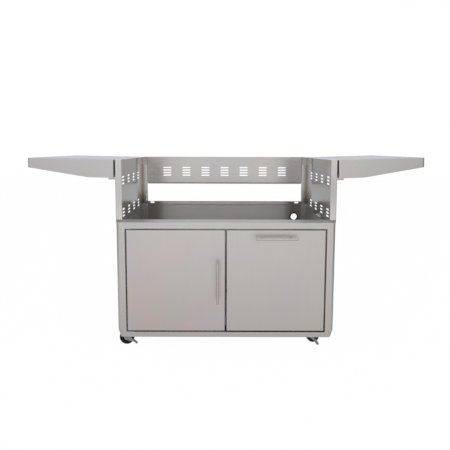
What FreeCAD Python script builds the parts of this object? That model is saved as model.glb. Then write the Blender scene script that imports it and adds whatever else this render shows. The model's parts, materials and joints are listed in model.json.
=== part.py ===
import FreeCAD, Part
import math
import os

# Griddle cart: a folded stainless sheet cabinet on swivel casters, with a door, a pull-out tank tray,
# an open vented jacket for a drop-in griddle, and two fold-down side shelves.
# Millimetres. +X to the cart's right seen from the front, +Y to the back, +Z up.
# Origin: on the floor, under the middle of the cart's overall box.

Vector = FreeCAD.Vector

# Overall sizes
cart_width = 1040.0
cart_depth = 600.0
cart_height = 944.0
cabinet_top = 647.0
skirt_drop = 15.0
sheet = 1.2

# Fits
fit_gap = 0.3
pin_clearance = 0.05
screw_clearance = 0.1

# Front frame and skirt
corner_radius = 16.0
corner_return = 20.0
stile_width = 41.5
top_rail_height = 30.0
bottom_rail_height = 25.0
jamb_depth = 15.0
ledge_depth = 76.0
ledge_lip = 20.0
toe_in = 11.0
toe_height = 34.0

# Cabinet shell
rear_flange = 34.0
back_panel_inset = 20.0
back_panel_foot = 5.0
back_panel_rise = 16.0
hem_height = 16.0
notch_length = 27.0
notch_height = 10.0
notch_from_flange = 15.0
divider_height = 440.0
divider_flange = 26.0
divider_setback = 34.0

# Hose grommet
hose_bore_radius = 20.0
grommet_neck = 4.0
grommet_flange_radius = 28.0
grommet_flange = 3.0
grommet_from_side = 77.5
grommet_below_top = 82.5

# Jacket
jacket_flange = 30.0
jacket_bend = 1.8
jacket_foot = 14.0
jacket_lap = 25.0
upper_back_height = 161.0
upper_back_setback = 10.0
upper_back_lip = 12.0
corner_tab_height = 46.0
side_slot_length = 42.0
side_slot_height = 9.0
side_slot_pitch = 16.7
side_slot_rows = 3
side_group_count = 4
side_group_pitch = 113.0
side_groups_back = 8.0
side_upper_row = 108.5
side_lower_row = 272.5
back_slot_length = 51.0
back_slot_height = 8.0
back_slot_pitch = 16.0
back_slot_rows = 4
back_group_count = 7
back_group_pitch = 120.0
back_slots_below_top = 91.5

# Door and tray front
front_gap = 6.0
centre_gap = 8.0
front_depth = 20.0
skin_bend_radius = 3.0
door_pivot_inset = 12.0
door_pin_radius = 4.0
door_pin_length = 24.0
pivot_block_length = 24.0
pivot_block_height = 22.0
pivot_bracket_length = 36.0
pivot_bracket_thick = 2.0
pivot_bracket_setback = 3.5
magnet_width = 20.0
magnet_height = 40.0
magnet_gap = 0.2
strike_thick = 1.0
strike_margin = 3.0

# Handles
handle_length = 200.0
handle_radius = 6.0
handle_standoff = 34.0
handle_post_radius = 5.0
handle_post_spacing = 136.0
handle_inset = 35.0
handle_chamfer = 1.0

# Pull-out tray and its telescopic slides
tray_back_clearance = 80.0
tray_wall = 70.0
tray_above_rail = 12.0
tank_ring_radius = 105.0
tank_ring_wall = 2.0
tank_ring_height = 30.0
slide_end_margin = 16.0
slide_thickness = 12.7
slide_height = 46.0
slide_gap = 0.4
slide_lip = 9.0
slide_above_tray = 10.0
slide_behind_front = 4.0
slide_rail_height = 60.0
slide_bend = 0.8

# Side shelves
shelf_reach = 412.0
shelf_side_clearance = 5.0
shelf_wall_gap = 3.5
shelf_tilt_left = 1.0
shelf_tilt_right = 1.75
apron_wall_gap = 9.0
apron_height = 86.0
apron_end_height = 44.0
apron_straight = 118.0
shelf_corner_radius = 12.0
shelf_bend_radius = 3.0
shelf_pivot_out = 18.0
shelf_pivot_drop = 76.0
shelf_pin_radius = 4.0
shelf_pin_head_radius = 6.0
arm_thick = 3.0
arm_length = 100.0
arm_height = 70.0
arm_margin = 2.0
bracket_thick = 3.0
bracket_reach = 34.0
bracket_height = 8.4
bracket_lug_radius = 7.0
bracket_apron_gap = 0.6
bracket_foot_width = 24.0
bracket_arm_gap = 0.5
stiffener_from_wall = 200.0
stiffener_width = 40.0
stiffener_height = 20.0

# Casters
crown_wheel_gap = 13.0
caster_from_side = 50.5
caster_from_front = 96.0
caster_from_back = 70.0
caster_trail = 32.0
wheel_radius = 37.5
wheel_width = 25.0
tyre_depth = 10.5
tyre_edge_radius = 5.0
hub_web = 6.0
hub_rim = 5.0
hub_boss_radius = 9.0
hub_rim_inset = 1.0
hub_edge_radius = 1.0
axle_radius = 4.0
axle_nut_radius = 7.0
axle_nut_thick = 5.0
fork_sheet = 3.0
fork_wheel_gap = 1.5
fork_heel_margin = 7.0
fork_lead = 20.0
fork_lead_cut = 2.0
fork_lead_drop = 23.0
crown_radius = 25.0
race_radius = 22.0
race_height = 5.7
plate_length = 70.0
plate_width = 62.0
plate_thick = 3.0
kingpin_radius = 6.0
kingpin_head_radius = 10.0
kingpin_head = 3.7
bolt_radius = 4.0
bolt_head_radius = 6.5
bolt_head = 5.0
bolt_inset = 9.0
brake_boss_radius = 9.0
brake_arm_thick = 3.0
brake_arm_run = 40.0
brake_arm_drop = 13.0
brake_arm_end_half = 6.0
brake_tread_start_run = 34.0
brake_tread_start_drop = 3.5
brake_tread_end_run = 57.0
brake_tread_end_drop = 23.5
brake_tread_thick = 4.0
brake_tread_width = 15.0
brake_tip_radius = 6.0
brake_edge_radius = 1.5
front_left_turn = 180.0
front_right_turn = 130.0
rear_left_turn = 150.0
rear_right_turn = 30.0

# Screws that hold the panels
screw_radius = 2.5
screw_head_radius = 4.5
screw_head = 2.5
screw_rows = 4
jacket_screw_count = 3

# Places worked out from the sizes above
half_width = cart_width / 2
crown_low = 2 * wheel_radius + crown_wheel_gap
crown_top = crown_low + fork_sheet
caster_height = crown_top + fit_gap + race_height + plate_thick
skirt_bottom = caster_height - skirt_drop
handle_reach = handle_standoff + handle_radius
rear_overhang = max(screw_head, grommet_flange)
front = handle_reach - (handle_reach + cart_depth + rear_overhang) / 2
back = front + cart_depth
middle_y = (front + back) / 2
wall_inside = half_width - sheet
cabinet_inside = half_width + fit_gap
cabinet_half = cabinet_inside + sheet
skirt_break = skirt_bottom + toe_height
side_seam = front + corner_radius + corner_return
opening_half = cabinet_half - stile_width
opening_low = skirt_bottom + bottom_rail_height
opening_high = cabinet_top - top_rail_height
pan_top = caster_height + sheet
front_back = front + front_depth
front_low = opening_low + front_gap
front_high = opening_high - front_gap
door_left = -opening_half + front_gap
door_right = -centre_gap / 2
tray_left = centre_gap / 2
tray_right = opening_half - front_gap
tray_middle_x = (tray_left + tray_right) / 2
slide_mount_x = opening_half
divider_x = 2 * tray_middle_x - slide_mount_x
tray_half = slide_mount_x - slide_thickness - tray_middle_x
tray_low = opening_low + tray_above_rail
tray_floor = tray_low + sheet
tray_back = back - tray_back_clearance
slide_low = tray_low + slide_above_tray
slide_front = front_back + slide_behind_front
slide_length = tray_back - slide_end_margin - slide_front
door_pivot_x = door_left + door_pivot_inset
door_pivot_y = front + front_depth / 2
back_panel_top = cabinet_top + back_panel_rise
flange_inside = half_width - rear_flange


# Outlines and solids that many pieces use

def at_height(z):
    """Place outline points in plan at one height."""
    return lambda x, y: Vector(x, y, z)


def at_depth(y):
    """Place outline points in a plane across the cart at one depth."""
    return lambda x, z: Vector(x, y, z)


def at_side(x):
    """Place outline points in a front-to-back plane at one distance across."""
    return lambda y, z: Vector(x, y, z)


def block(x_low, x_high, y_low, y_high, z_low, z_high):
    """A plain block between two corners."""
    return Part.makeBox(x_high - x_low, y_high - y_low, z_high - z_low, Vector(x_low, y_low, z_low))


def rod(start, direction, radius, length):
    """A round bar from a point along a direction."""
    return Part.makeCylinder(radius, length, Vector(*start), Vector(*direction))


def unit(start, end):
    """The direction from one outline point to another."""
    length = math.hypot(end[0] - start[0], end[1] - start[1])
    return (end[0] - start[0]) / length, (end[1] - start[1]) / length


def rounded_corner(before, corner, after, radius):
    """Start, middle and end of the arc that rounds one corner of an outline."""
    behind = unit(corner, before)
    ahead = unit(corner, after)
    half_angle = math.acos(behind[0] * ahead[0] + behind[1] * ahead[1]) / 2
    run = radius / math.tan(half_angle)
    inward = unit((0, 0), (behind[0] + ahead[0], behind[1] + ahead[1]))
    reach = radius / math.sin(half_angle) - radius
    start = (corner[0] + behind[0] * run, corner[1] + behind[1] * run)
    middle = (corner[0] + inward[0] * reach, corner[1] + inward[1] * reach)
    end = (corner[0] + ahead[0] * run, corner[1] + ahead[1] * run)
    return start, middle, end


def outline_face(points, radii, place):
    """A flat face inside a closed outline, each corner rounded by its radius."""
    corners = []
    for index, corner in enumerate(points):
        if radii[index] > 0:
            after = points[(index + 1) % len(points)]
            corners.append(rounded_corner(points[index - 1], corner, after, radii[index]))
        else:
            corners.append((corner,))
    edges = []
    for index, corner in enumerate(corners):
        if len(corner) == 3:
            edges.append(Part.Arc(*[place(*point) for point in corner]).toShape())
        following = corners[(index + 1) % len(corners)]
        edges.append(Part.LineSegment(place(*corner[-1]), place(*following[0])).toShape())
    return Part.Face(Part.Wire(edges))


def strip_face(points, thickness, bend, place):
    """The section of a bent sheet that follows the points, with its thickness on their left."""
    last = len(points) - 1
    left = []
    right_radii = []
    left_radii = []
    for index, point in enumerate(points):
        before = unit(points[max(index - 1, 0)], points[max(index, 1)])
        after = unit(points[min(index, last - 1)], points[min(index + 1, last)])
        turn = before[0] * after[1] - before[1] * after[0]
        share = 1 + before[0] * after[0] + before[1] * after[1]
        shift_x = -(before[1] + after[1]) / share * thickness
        shift_y = (before[0] + after[0]) / share * thickness
        left.append((point[0] + shift_x, point[1] + shift_y))
        bent = abs(turn) > 1e-6
        left_radii.append(bend + (thickness if turn < 0 else 0) if bent else 0)
        right_radii.append(bend + (thickness if turn > 0 else 0) if bent else 0)
    return outline_face(points + left[::-1], right_radii + left_radii[::-1], place)


def slot_face(centre_u, centre_v, length, height, place):
    """A flat face the shape of a slot with round ends, its length along the first direction."""
    half_run = length / 2 - height / 2
    radius = height / 2
    left_u = centre_u - half_run
    right_u = centre_u + half_run
    low_v = centre_v - radius
    high_v = centre_v + radius
    low = Part.LineSegment(place(left_u, low_v), place(right_u, low_v))
    right = Part.Arc(place(right_u, low_v), place(right_u + radius, centre_v), place(right_u, high_v))
    high = Part.LineSegment(place(right_u, high_v), place(left_u, high_v))
    left = Part.Arc(place(left_u, high_v), place(left_u - radius, centre_v), place(left_u, low_v))
    return Part.Face(Part.Wire([edge.toShape() for edge in (low, right, high, left)]))


def rounded_block(x_low, x_high, y_low, y_high, z_low, z_high, radius):
    """A block whose front edges and front-to-back edges are rounded."""
    plain = block(x_low, x_high, y_low, y_high, z_low, z_high)
    tiny = radius / 100
    picked = []
    for edge in plain.Edges:
        runs_back = edge.BoundBox.YLength > tiny
        on_front = edge.BoundBox.YMax < y_low + tiny
        if runs_back or on_front:
            picked.append(edge)
    return plain.makeFillet(radius, picked)


def joined(first, *others):
    """One solid out of pieces that touch, without the seams between coplanar faces."""
    return first.fuse(list(others)).removeSplitter()


def mirrored(shape, x=0.0):
    """The shape's mirror image across a front-to-back plane."""
    return shape.mirror(Vector(x, 0, 0), Vector(1, 0, 0))


def save(name, *solids):
    """Write one node, which is one solid or a group of separate ones."""
    shape = solids[0] if len(solids) == 1 else Part.makeCompound(list(solids))
    shape.exportStep("parts/" + name + ".step")


# Cabinet

def wall_inset(z):
    """How far the side wall stands in from the cabinet's side at one height of the skirt."""
    return toe_in * max(0.0, skirt_break - z) / toe_height


def skirted(plan, z_high):
    """A wall that stands straight above the skirt and toes in below it."""
    low = plan(cabinet_half - toe_in, at_height(skirt_bottom))
    high = plan(cabinet_half, at_height(skirt_break))
    skirt = Part.makeLoft([low.OuterWire, high.OuterWire], True, True)
    return joined(skirt, high.extrude(Vector(0, 0, z_high - skirt_break)))


def front_frame():
    """Face sheet with its opening, jamb returns, rounded corners, ledge and lip."""
    def plan(half, place):
        points = [(-half, side_seam), (-half, front), (half, front), (half, side_seam)]
        return strip_face(points, sheet, corner_radius - sheet, place)

    face = skirted(plan, cabinet_top)
    opening = block(-opening_half, opening_half, front - sheet, front + 2 * sheet, opening_low, opening_high)
    face = face.cut(opening)
    jamb_outside = block(-opening_half - sheet, opening_half + sheet, front, front + jamb_depth,
                         opening_low - sheet, opening_high + sheet)
    jamb_inside = block(-opening_half, opening_half, front - sheet, front + jamb_depth + sheet,
                        opening_low, opening_high)
    half = cabinet_half
    corners = [(-half, side_seam), (-half, front), (half, front), (half, side_seam)]
    ledge_plan = outline_face(corners, [0, corner_radius, corner_radius, 0], at_height(cabinet_top - sheet))
    ledge_front = ledge_plan.extrude(Vector(0, 0, sheet))
    ledge_half = cabinet_inside - fit_gap
    ledge = block(-ledge_half, ledge_half, front + sheet, front + ledge_depth,
                  cabinet_top - sheet, cabinet_top)
    lip = block(-ledge_half, ledge_half, front + ledge_depth - sheet, front + ledge_depth,
                cabinet_top - ledge_lip, cabinet_top)
    return joined(face, jamb_outside.cut(jamb_inside), ledge_front, ledge, lip)


def jacket_screw_places():
    """Front-to-back places of the screws between the cabinet and the jacket on each side."""
    step = cart_depth / (jacket_screw_count + 1)
    return [front + step * (index + 1) for index in range(jacket_screw_count)]


def back_screw_places():
    """Heights of the screws through the cabinet's back panel on each side."""
    step = (cabinet_top - skirt_break) / (screw_rows + 1)
    return [skirt_break + step * (index + 1) for index in range(screw_rows)]


back_screw_x = (flange_inside + half_width - back_panel_inset) / 2
jacket_screw_z = cabinet_top - jacket_lap / 2


def drilled(shape, hole_radius, starts, direction, depth):
    """The shape with round holes of one size from each start along one direction."""
    holes = [rod(start, direction, hole_radius, depth) for start in starts]
    return shape.cut(Part.makeCompound(holes))


def back_screw_starts(sides):
    """Outer ends of the back screws on the given sides, in the back panel's outer face."""
    return [(side * back_screw_x, back, z) for side in sides for z in back_screw_places()]


def jacket_screw_starts(side):
    """Outer ends of the jacket screws on one side, in the cabinet wall's outer face."""
    return [(side * cabinet_half, y, jacket_screw_z) for y in jacket_screw_places()]


def cabinet_side():
    """Right-hand side wall with its toe-in and rear flange."""
    def plan(half, place):
        points = [(half, side_seam + fit_gap), (half, back - sheet), (flange_inside, back - sheet)]
        return strip_face(points, sheet, sheet, place)

    wall = skirted(plan, cabinet_top)
    hole = screw_radius + screw_clearance
    wall = drilled(wall, hole, back_screw_starts([1]), (0, -1, 0), 4 * sheet)
    return drilled(wall, hole, jacket_screw_starts(1), (-1, 0, 0), 4 * sheet)


def base_pan():
    """Floor sheet that the casters bolt to."""
    half = cabinet_half - wall_inset(caster_height) - sheet * math.hypot(1, toe_in / toe_height) - fit_gap
    pan_front = front + sheet + fit_gap
    pan_back = back - 2 * sheet - fit_gap
    points = [(-half, pan_front), (half, pan_front), (half, pan_back), (-half, pan_back)]
    plan = outline_face(points, [corner_radius, corner_radius, 0, 0], at_height(caster_height))
    pan = plan.extrude(Vector(0, 0, sheet))
    starts = [(x, y, pan_top) for x, y in caster_bolt_places()]
    return drilled(pan, bolt_radius + screw_clearance, starts, (0, 0, -1), 2 * sheet)


grommet_x = half_width - grommet_from_side
grommet_z = cabinet_top - grommet_below_top


def cabinet_back_panel():
    """Lower back sheet with a hem along its top, a notch near each end and the hose hole."""
    half = half_width - back_panel_inset
    panel = block(-half, half, back - sheet, back, skirt_bottom + back_panel_foot, back_panel_top)
    hem_half = flange_inside - fit_gap
    hem = block(-hem_half, hem_half, back - 2 * sheet, back - sheet,
                back_panel_top - hem_height, back_panel_top)
    panel = joined(panel, hem)
    notch_x = flange_inside - notch_from_flange - notch_length / 2
    notch_z = back_panel_top - hem_height / 2
    for side in (-1, 1):
        notch = slot_face(side * notch_x, notch_z, notch_length, notch_height, at_depth(back - 3 * sheet))
        panel = panel.cut(notch.extrude(Vector(0, 4 * sheet, 0)))
    hose_hole = hose_bore_radius + grommet_neck + screw_clearance
    panel = drilled(panel, hose_hole, [(grommet_x, back - 2 * sheet, grommet_z)], (0, 1, 0), 4 * sheet)
    hole = screw_radius + screw_clearance
    return drilled(panel, hole, back_screw_starts([-1, 1]), (0, -1, 0), 4 * sheet)


def hose_grommet():
    """Rubber ring in the hose hole, with a flange on each side of the sheet."""
    inner = hose_bore_radius
    neck = hose_bore_radius + grommet_neck
    front_face = -sheet - fit_gap
    points = [(inner, front_face - grommet_flange), (grommet_flange_radius, front_face - grommet_flange),
              (grommet_flange_radius, front_face), (neck, front_face), (neck, 0.0),
              (grommet_flange_radius, 0.0), (grommet_flange_radius, grommet_flange), (inner, grommet_flange)]
    edge = grommet_flange / 3
    radii = [edge, edge, 0, 0, 0, 0, edge, edge]
    section = outline_face(points, radii, lambda r, y: Vector(grommet_x + r, back + y, grommet_z))
    return section.revolve(Vector(grommet_x, back, grommet_z), Vector(0, 1, 0), 360)


def centre_divider():
    """Upright sheet between the door's space and the tray's, with a front and a foot flange."""
    points = [(divider_x - divider_flange, front + divider_setback), (divider_x, front + divider_setback),
              (divider_x, back - sheet - fit_gap)]
    upright = strip_face(points, sheet, sheet, at_height(pan_top)).extrude(Vector(0, 0, divider_height))
    foot = block(divider_x - divider_flange, divider_x - sheet / 2, front + divider_setback + sheet / 2,
                 back - sheet - fit_gap, pan_top, pan_top + sheet)
    return joined(upright, foot)


def slide_mount_rail():
    """Channel that carries the right-hand slide out from the side wall."""
    middle = slide_low + slide_height / 2
    low = middle - slide_rail_height / 2
    high = middle + slide_rail_height / 2
    reach = cabinet_inside - fit_gap
    points = [(reach, high), (slide_mount_x, high), (slide_mount_x, low), (reach, low)]
    return strip_face(points, sheet, sheet, at_depth(slide_front)).extrude(Vector(0, slide_length, 0))


# Jacket

def jacket_envelope():
    """Outside form of the jacket with its upright corners rounded."""
    corner = jacket_bend + sheet
    rear = back - sheet
    points = [(-half_width, front), (half_width, front), (half_width, rear), (-half_width, rear)]
    plan = outline_face(points, [corner] * 4, at_height(cabinet_top))
    return plan.extrude(Vector(0, 0, cart_height - cabinet_top))


def upper_side():
    """Right-hand jacket side: flanges, a lap inside the cabinet wall and two rows of grouped vent slots."""
    edge = half_width - jacket_flange
    section = [(half_width, cabinet_top), (half_width, cart_height), (edge, cart_height)]
    length = cart_depth - sheet
    wall = strip_face(section, sheet, jacket_bend, at_depth(front)).extrude(Vector(0, length, 0))
    over = sheet / 2
    flange_top = cart_height - over
    front_flange = block(edge, half_width - over, front, front + sheet, cabinet_top + jacket_foot, flange_top)
    rear_sheet = block(flange_inside, half_width - over, back - 2 * sheet, back - sheet,
                       cabinet_top, flange_top)
    lap = block(wall_inside, half_width, front + ledge_depth + fit_gap, back - 4 * sheet,
                cabinet_top - jacket_lap, cabinet_top)
    side = joined(joined(wall, front_flange, rear_sheet).common(jacket_envelope()), lap)
    slots = []
    for row_middle in (side_upper_row, side_lower_row):
        for row in range(side_slot_rows):
            below = row_middle + (row - (side_slot_rows - 1) / 2) * side_slot_pitch
            for group in range(side_group_count):
                y = middle_y + side_groups_back + (group - (side_group_count - 1) / 2) * side_group_pitch
                slot = slot_face(y, cart_height - below, side_slot_length, side_slot_height,
                                 at_side(half_width + sheet))
                slots.append(slot.extrude(Vector(-3 * sheet, 0, 0)))
    side = side.cut(Part.makeCompound(slots))
    hole = screw_radius + screw_clearance
    return drilled(side, hole, jacket_screw_starts(1), (-1, 0, 0), 4 * sheet)


def upper_back_panel():
    """Vented back sheet with end returns, a top return and a sloping lip along its lower edge."""
    half = flange_inside - fit_gap
    face = back - upper_back_setback - sheet
    low = cart_height - upper_back_height
    points = [(-half, back - sheet), (-half, face), (half, face), (half, back - sheet)]
    panel = strip_face(points, sheet, jacket_bend, at_height(low)).extrude(Vector(0, 0, upper_back_height))
    inside = half - sheet
    top = block(-inside, inside, face + sheet / 2, back - sheet, cart_height - sheet, cart_height)
    drop = upper_back_lip * math.sin(math.radians(45))
    bend_in = jacket_bend + sheet
    lip_half = half - bend_in
    lip_points = [(face, low + bend_in), (face, low), (face + drop, low - drop)]
    lip_section = strip_face(lip_points, sheet, 0.0, at_side(-lip_half))
    lip = lip_section.extrude(Vector(2 * lip_half, 0, 0))
    panel = joined(panel, top, lip)
    slots = []
    for row in range(back_slot_rows):
        below = back_slots_below_top + (row - (back_slot_rows - 1) / 2) * back_slot_pitch
        for group in range(back_group_count):
            x = (group - (back_group_count - 1) / 2) * back_group_pitch
            slot = slot_face(x, cart_height - below, back_slot_length, back_slot_height,
                             at_depth(face - sheet))
            slots.append(slot.extrude(Vector(0, 3 * sheet, 0)))
    return panel.cut(Part.makeCompound(slots))


def corner_tab():
    """Right-hand plate on the rear flange, in the jacket's top corner."""
    low_x = flange_inside
    high_x = wall_inside - jacket_bend
    face = back - 2 * sheet
    high = cart_height - sheet - jacket_bend
    return block(low_x, high_x, face - sheet, face, high - corner_tab_height, high)


def screw(start, direction, grip):
    """Pan-head screw: its head stands off the start, its shank runs the grip length past it."""
    back_off = Vector(*direction) * -screw_head
    head_start = Vector(*start) + back_off
    head = Part.makeCylinder(screw_head_radius, screw_head, head_start, Vector(*direction))
    domed = [edge for edge in head.Edges if (edge.CenterOfMass - head_start).Length < screw_head / 4]
    head = head.makeFillet(screw_head / 2, domed)
    return joined(head, rod(start, direction, screw_radius, grip))


def panel_screws():
    """Screws of the back panel and of the lap between the jacket and the cabinet."""
    screws = [screw(start, (0, -1, 0), 4 * sheet) for start in back_screw_starts([-1, 1])]
    for side in (-1, 1):
        screws += [screw(start, (-side, 0, 0), 4 * sheet) for start in jacket_screw_starts(side)]
    return screws


# Door and tray front

def front_skin(x_low, x_high):
    """Folded pan that shows from the front, open at the back."""
    outside = rounded_block(x_low, x_high, front, front_back, front_low, front_high, skin_bend_radius)
    inside = rounded_block(x_low + sheet, x_high - sheet, front + sheet, front_back + sheet,
                           front_low + sheet, front_high - sheet, skin_bend_radius - sheet)
    return outside.cut(inside)


def front_liner(x_low, x_high):
    """Flat sheet that closes the back of a front skin."""
    gap = sheet + fit_gap
    points = [(x_low + gap, front_low + gap), (x_high - gap, front_low + gap),
              (x_high - gap, front_high - gap), (x_low + gap, front_high - gap)]
    plate = outline_face(points, [skin_bend_radius] * 4, at_depth(front_back - sheet))
    return plate.extrude(Vector(0, sheet, 0))


def door_pin_starts():
    """Lower ends of the top and the bottom door pin."""
    top_end = opening_high - fit_gap
    bottom_end = opening_low + fit_gap
    return [(door_pivot_x, door_pivot_y, top_end - door_pin_length), (door_pivot_x, door_pivot_y, bottom_end)]


def with_door_pin_holes(shape):
    """The shape with running holes where the door pins pass through it."""
    hole = door_pin_radius + pin_clearance
    return drilled(shape, hole, door_pin_starts(), (0, 0, 1), door_pin_length)


def door_skin():
    """Door skin with the pin holes in its top and bottom returns."""
    return with_door_pin_holes(front_skin(door_left, door_right))


def door_pivot_pins():
    """Pins that the door turns on."""
    return [rod(start, (0, 0, 1), door_pin_radius, door_pin_length) for start in door_pin_starts()]


def door_pivot_blocks():
    """Blocks inside the door's left corners that hold its pins."""
    corner = door_left + skin_bend_radius
    solids = []
    for z_low in (front_low + skin_bend_radius, front_high - skin_bend_radius - pivot_block_height):
        solid = block(corner, corner + pivot_block_length, front + sheet, front_back - sheet,
                      z_low, z_low + pivot_block_height)
        solids.append(with_door_pin_holes(solid))
    return solids


def door_pivot_brackets():
    """Plates on the frame's jamb that the door pins turn in."""
    solids = []
    for z_low in (opening_low, opening_high - pivot_bracket_thick):
        plate = block(-opening_half, -opening_half + pivot_bracket_length, front + pivot_bracket_setback,
                      front_back + sheet, z_low, z_low + pivot_bracket_thick)
        solids.append(with_door_pin_holes(plate))
    return solids


magnet_high = pan_top + divider_height - magnet_height / 2
magnet_right = door_right - strike_margin - fit_gap


def door_magnet_catch():
    """Magnet block on the divider's front flange."""
    face = front_back + strike_thick + magnet_gap
    return block(magnet_right - magnet_width, magnet_right, face, front + divider_setback,
                 magnet_high - magnet_height, magnet_high)


def door_strike_plate():
    """Steel plate on the door's liner that the magnet holds."""
    low_x = magnet_right - magnet_width - strike_margin
    low_z = magnet_high - magnet_height - strike_margin
    high_z = magnet_high + strike_margin
    return block(low_x, magnet_right, front_back, front_back + strike_thick, low_z, high_z)


def bar_handle(x, z, upright):
    """Round bar and the two posts that stand it off the front, along Z or along X."""
    axis_y = front - handle_standoff
    bar = rod((x, axis_y, z - handle_length / 2), (0, 0, 1), handle_radius, handle_length)
    ends = [edge for edge in bar.Edges if edge.BoundBox.ZLength < handle_chamfer]
    bar = bar.makeChamfer(handle_chamfer, ends)
    posts = []
    for side in (-1, 1):
        post_start = (x, axis_y, z + side * handle_post_spacing / 2)
        posts.append(rod(post_start, (0, 1, 0), handle_post_radius, handle_standoff).cut(bar))
    if not upright:
        for shape in [bar] + posts:
            shape.rotate(Vector(x, axis_y, z), Vector(0, 1, 0), 90)
    return bar, posts


# Pull-out tray and its slides

def drawer_tray():
    """Open tray with four walls, welded to the back of the tray front."""
    low_x = tray_middle_x - tray_half
    high_x = tray_middle_x + tray_half
    outside = block(low_x, high_x, front_back, tray_back, tray_low, tray_low + tray_wall)
    inside = block(low_x + sheet, high_x - sheet, front_back + sheet, tray_back - sheet,
                   tray_floor, tray_low + tray_wall + sheet)
    return outside.cut(inside)


def tank_ring():
    """Ring on the tray floor that a tank's foot stands in."""
    centre = (tray_middle_x, (front_back + tray_back) / 2, tray_floor)
    outside = rod(centre, (0, 0, 1), tank_ring_radius + tank_ring_wall, tank_ring_height)
    return outside.cut(rod(centre, (0, 0, 1), tank_ring_radius, tank_ring_height))


def slide_member(web_x, depth, height, opens_left):
    """A C-shaped slide member with its web at one side, as deep as its lips."""
    middle = slide_low + slide_height / 2
    low = middle - height / 2
    high = middle + height / 2
    if opens_left:
        points = [(web_x - depth, low), (web_x, low), (web_x, high), (web_x - depth, high)]
    else:
        points = [(web_x + depth, high), (web_x, high), (web_x, low), (web_x + depth, low)]
    member = strip_face(points, sheet, slide_bend, at_depth(slide_front)).extrude(Vector(0, slide_length, 0))
    return [member, mirrored(member, tray_middle_x)]


def slide_members():
    """Outer, middle and inner members, each a pair, nested with a running gap."""
    step = 2 * (sheet + slide_gap)
    outer = slide_member(slide_mount_x, slide_thickness - sheet, slide_height, True)
    middle = slide_member(slide_mount_x - step / 2, slide_lip, slide_height - step, True)
    tray_side = tray_middle_x + tray_half
    inner_lip = slide_thickness - 2 * step
    inner = slide_member(tray_side, inner_lip, slide_height - 2 * step, False)
    return outer, middle, inner


# Side shelves

shelf_inside = half_width + shelf_wall_gap
shelf_outside = half_width + shelf_reach
apron_start = half_width + apron_wall_gap
apron_low = cart_height - apron_height
shelf_front = front + shelf_side_clearance
shelf_back = back - shelf_side_clearance
shelf_pivot_x = half_width + shelf_pivot_out
shelf_pivot_z = cart_height - shelf_pivot_drop


def tilted(shape, tilt):
    """A right-hand shelf piece raised about its pivot to the angle that the shelf rests at."""
    raised = shape.copy()
    raised.rotate(Vector(shelf_pivot_x, 0, shelf_pivot_z), Vector(0, 1, 0), -tilt)
    return raised


def shelf_pan(tilt):
    """Right-hand shelf: top sheet with tapered front and rear aprons and an apron at each end."""
    taper_x = apron_start + apron_straight
    side_outline = [(apron_start, cart_height), (apron_start, apron_low), (taper_x, apron_low),
                    (shelf_outside, cart_height - apron_end_height), (shelf_outside, cart_height)]
    face = outline_face(side_outline, [0, 0, 0, 0, 0], at_depth(shelf_front))
    outside = face.extrude(Vector(0, shelf_back - shelf_front, 0))
    apron_depth = apron_height + sheet
    envelope = rounded_top_block(apron_start, shelf_outside, shelf_front, shelf_back, cart_height,
                                 apron_depth, shelf_corner_radius, shelf_bend_radius)
    hollow = rounded_top_block(apron_start + sheet, shelf_outside - sheet, shelf_front + sheet,
                               shelf_back - sheet, cart_height - sheet, apron_depth,
                               shelf_corner_radius - sheet, shelf_bend_radius - sheet)
    tongue = block(shelf_inside, apron_start + shelf_corner_radius, shelf_front + sheet, shelf_back - sheet,
                   cart_height - sheet, cart_height)
    return tilted(joined(outside.common(envelope).cut(hollow), tongue), tilt)


def rounded_top_block(x_low, x_high, y_low, y_high, z_high, depth, corner, bend):
    """A block with its two outer upright edges and its top edges, but the inner one, rounded."""
    points = [(x_low, y_low), (x_high, y_low), (x_high, y_high), (x_low, y_high)]
    plan = outline_face(points, [0, corner, corner, 0], at_height(z_high - depth))
    plain = plan.extrude(Vector(0, 0, depth))
    tiny = bend / 100
    picked = []
    for edge in plain.Edges:
        on_top = edge.BoundBox.ZMin > z_high - tiny
        on_inner_end = edge.BoundBox.XMax < x_low + tiny
        if on_top and not on_inner_end:
            picked.append(edge)
    return plain.makeFillet(bend, picked)


def arm_places():
    """Front-to-back start of each hinge arm, just inside the front and the rear apron."""
    return [shelf_front + sheet, shelf_back - sheet - arm_thick]


def bracket_places():
    """Front-to-back start of each wall bracket, beside its arm on the shelf's inner side."""
    front_arm, rear_arm = arm_places()
    return [front_arm + arm_thick + bracket_arm_gap, rear_arm - bracket_arm_gap - bracket_thick]


def shelf_arms(tilt):
    """Plates inside the aprons with the pivot holes."""
    low = apron_low + arm_margin
    solids = []
    for y in arm_places():
        plate = block(apron_start + arm_margin, apron_start + arm_length, y, y + arm_thick,
                      low, low + arm_height)
        start = (shelf_pivot_x, y, shelf_pivot_z)
        plate = drilled(plate, shelf_pin_radius + pin_clearance, [start], (0, 1, 0), arm_thick)
        solids.append(tilted(plate, tilt))
    return solids


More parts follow.
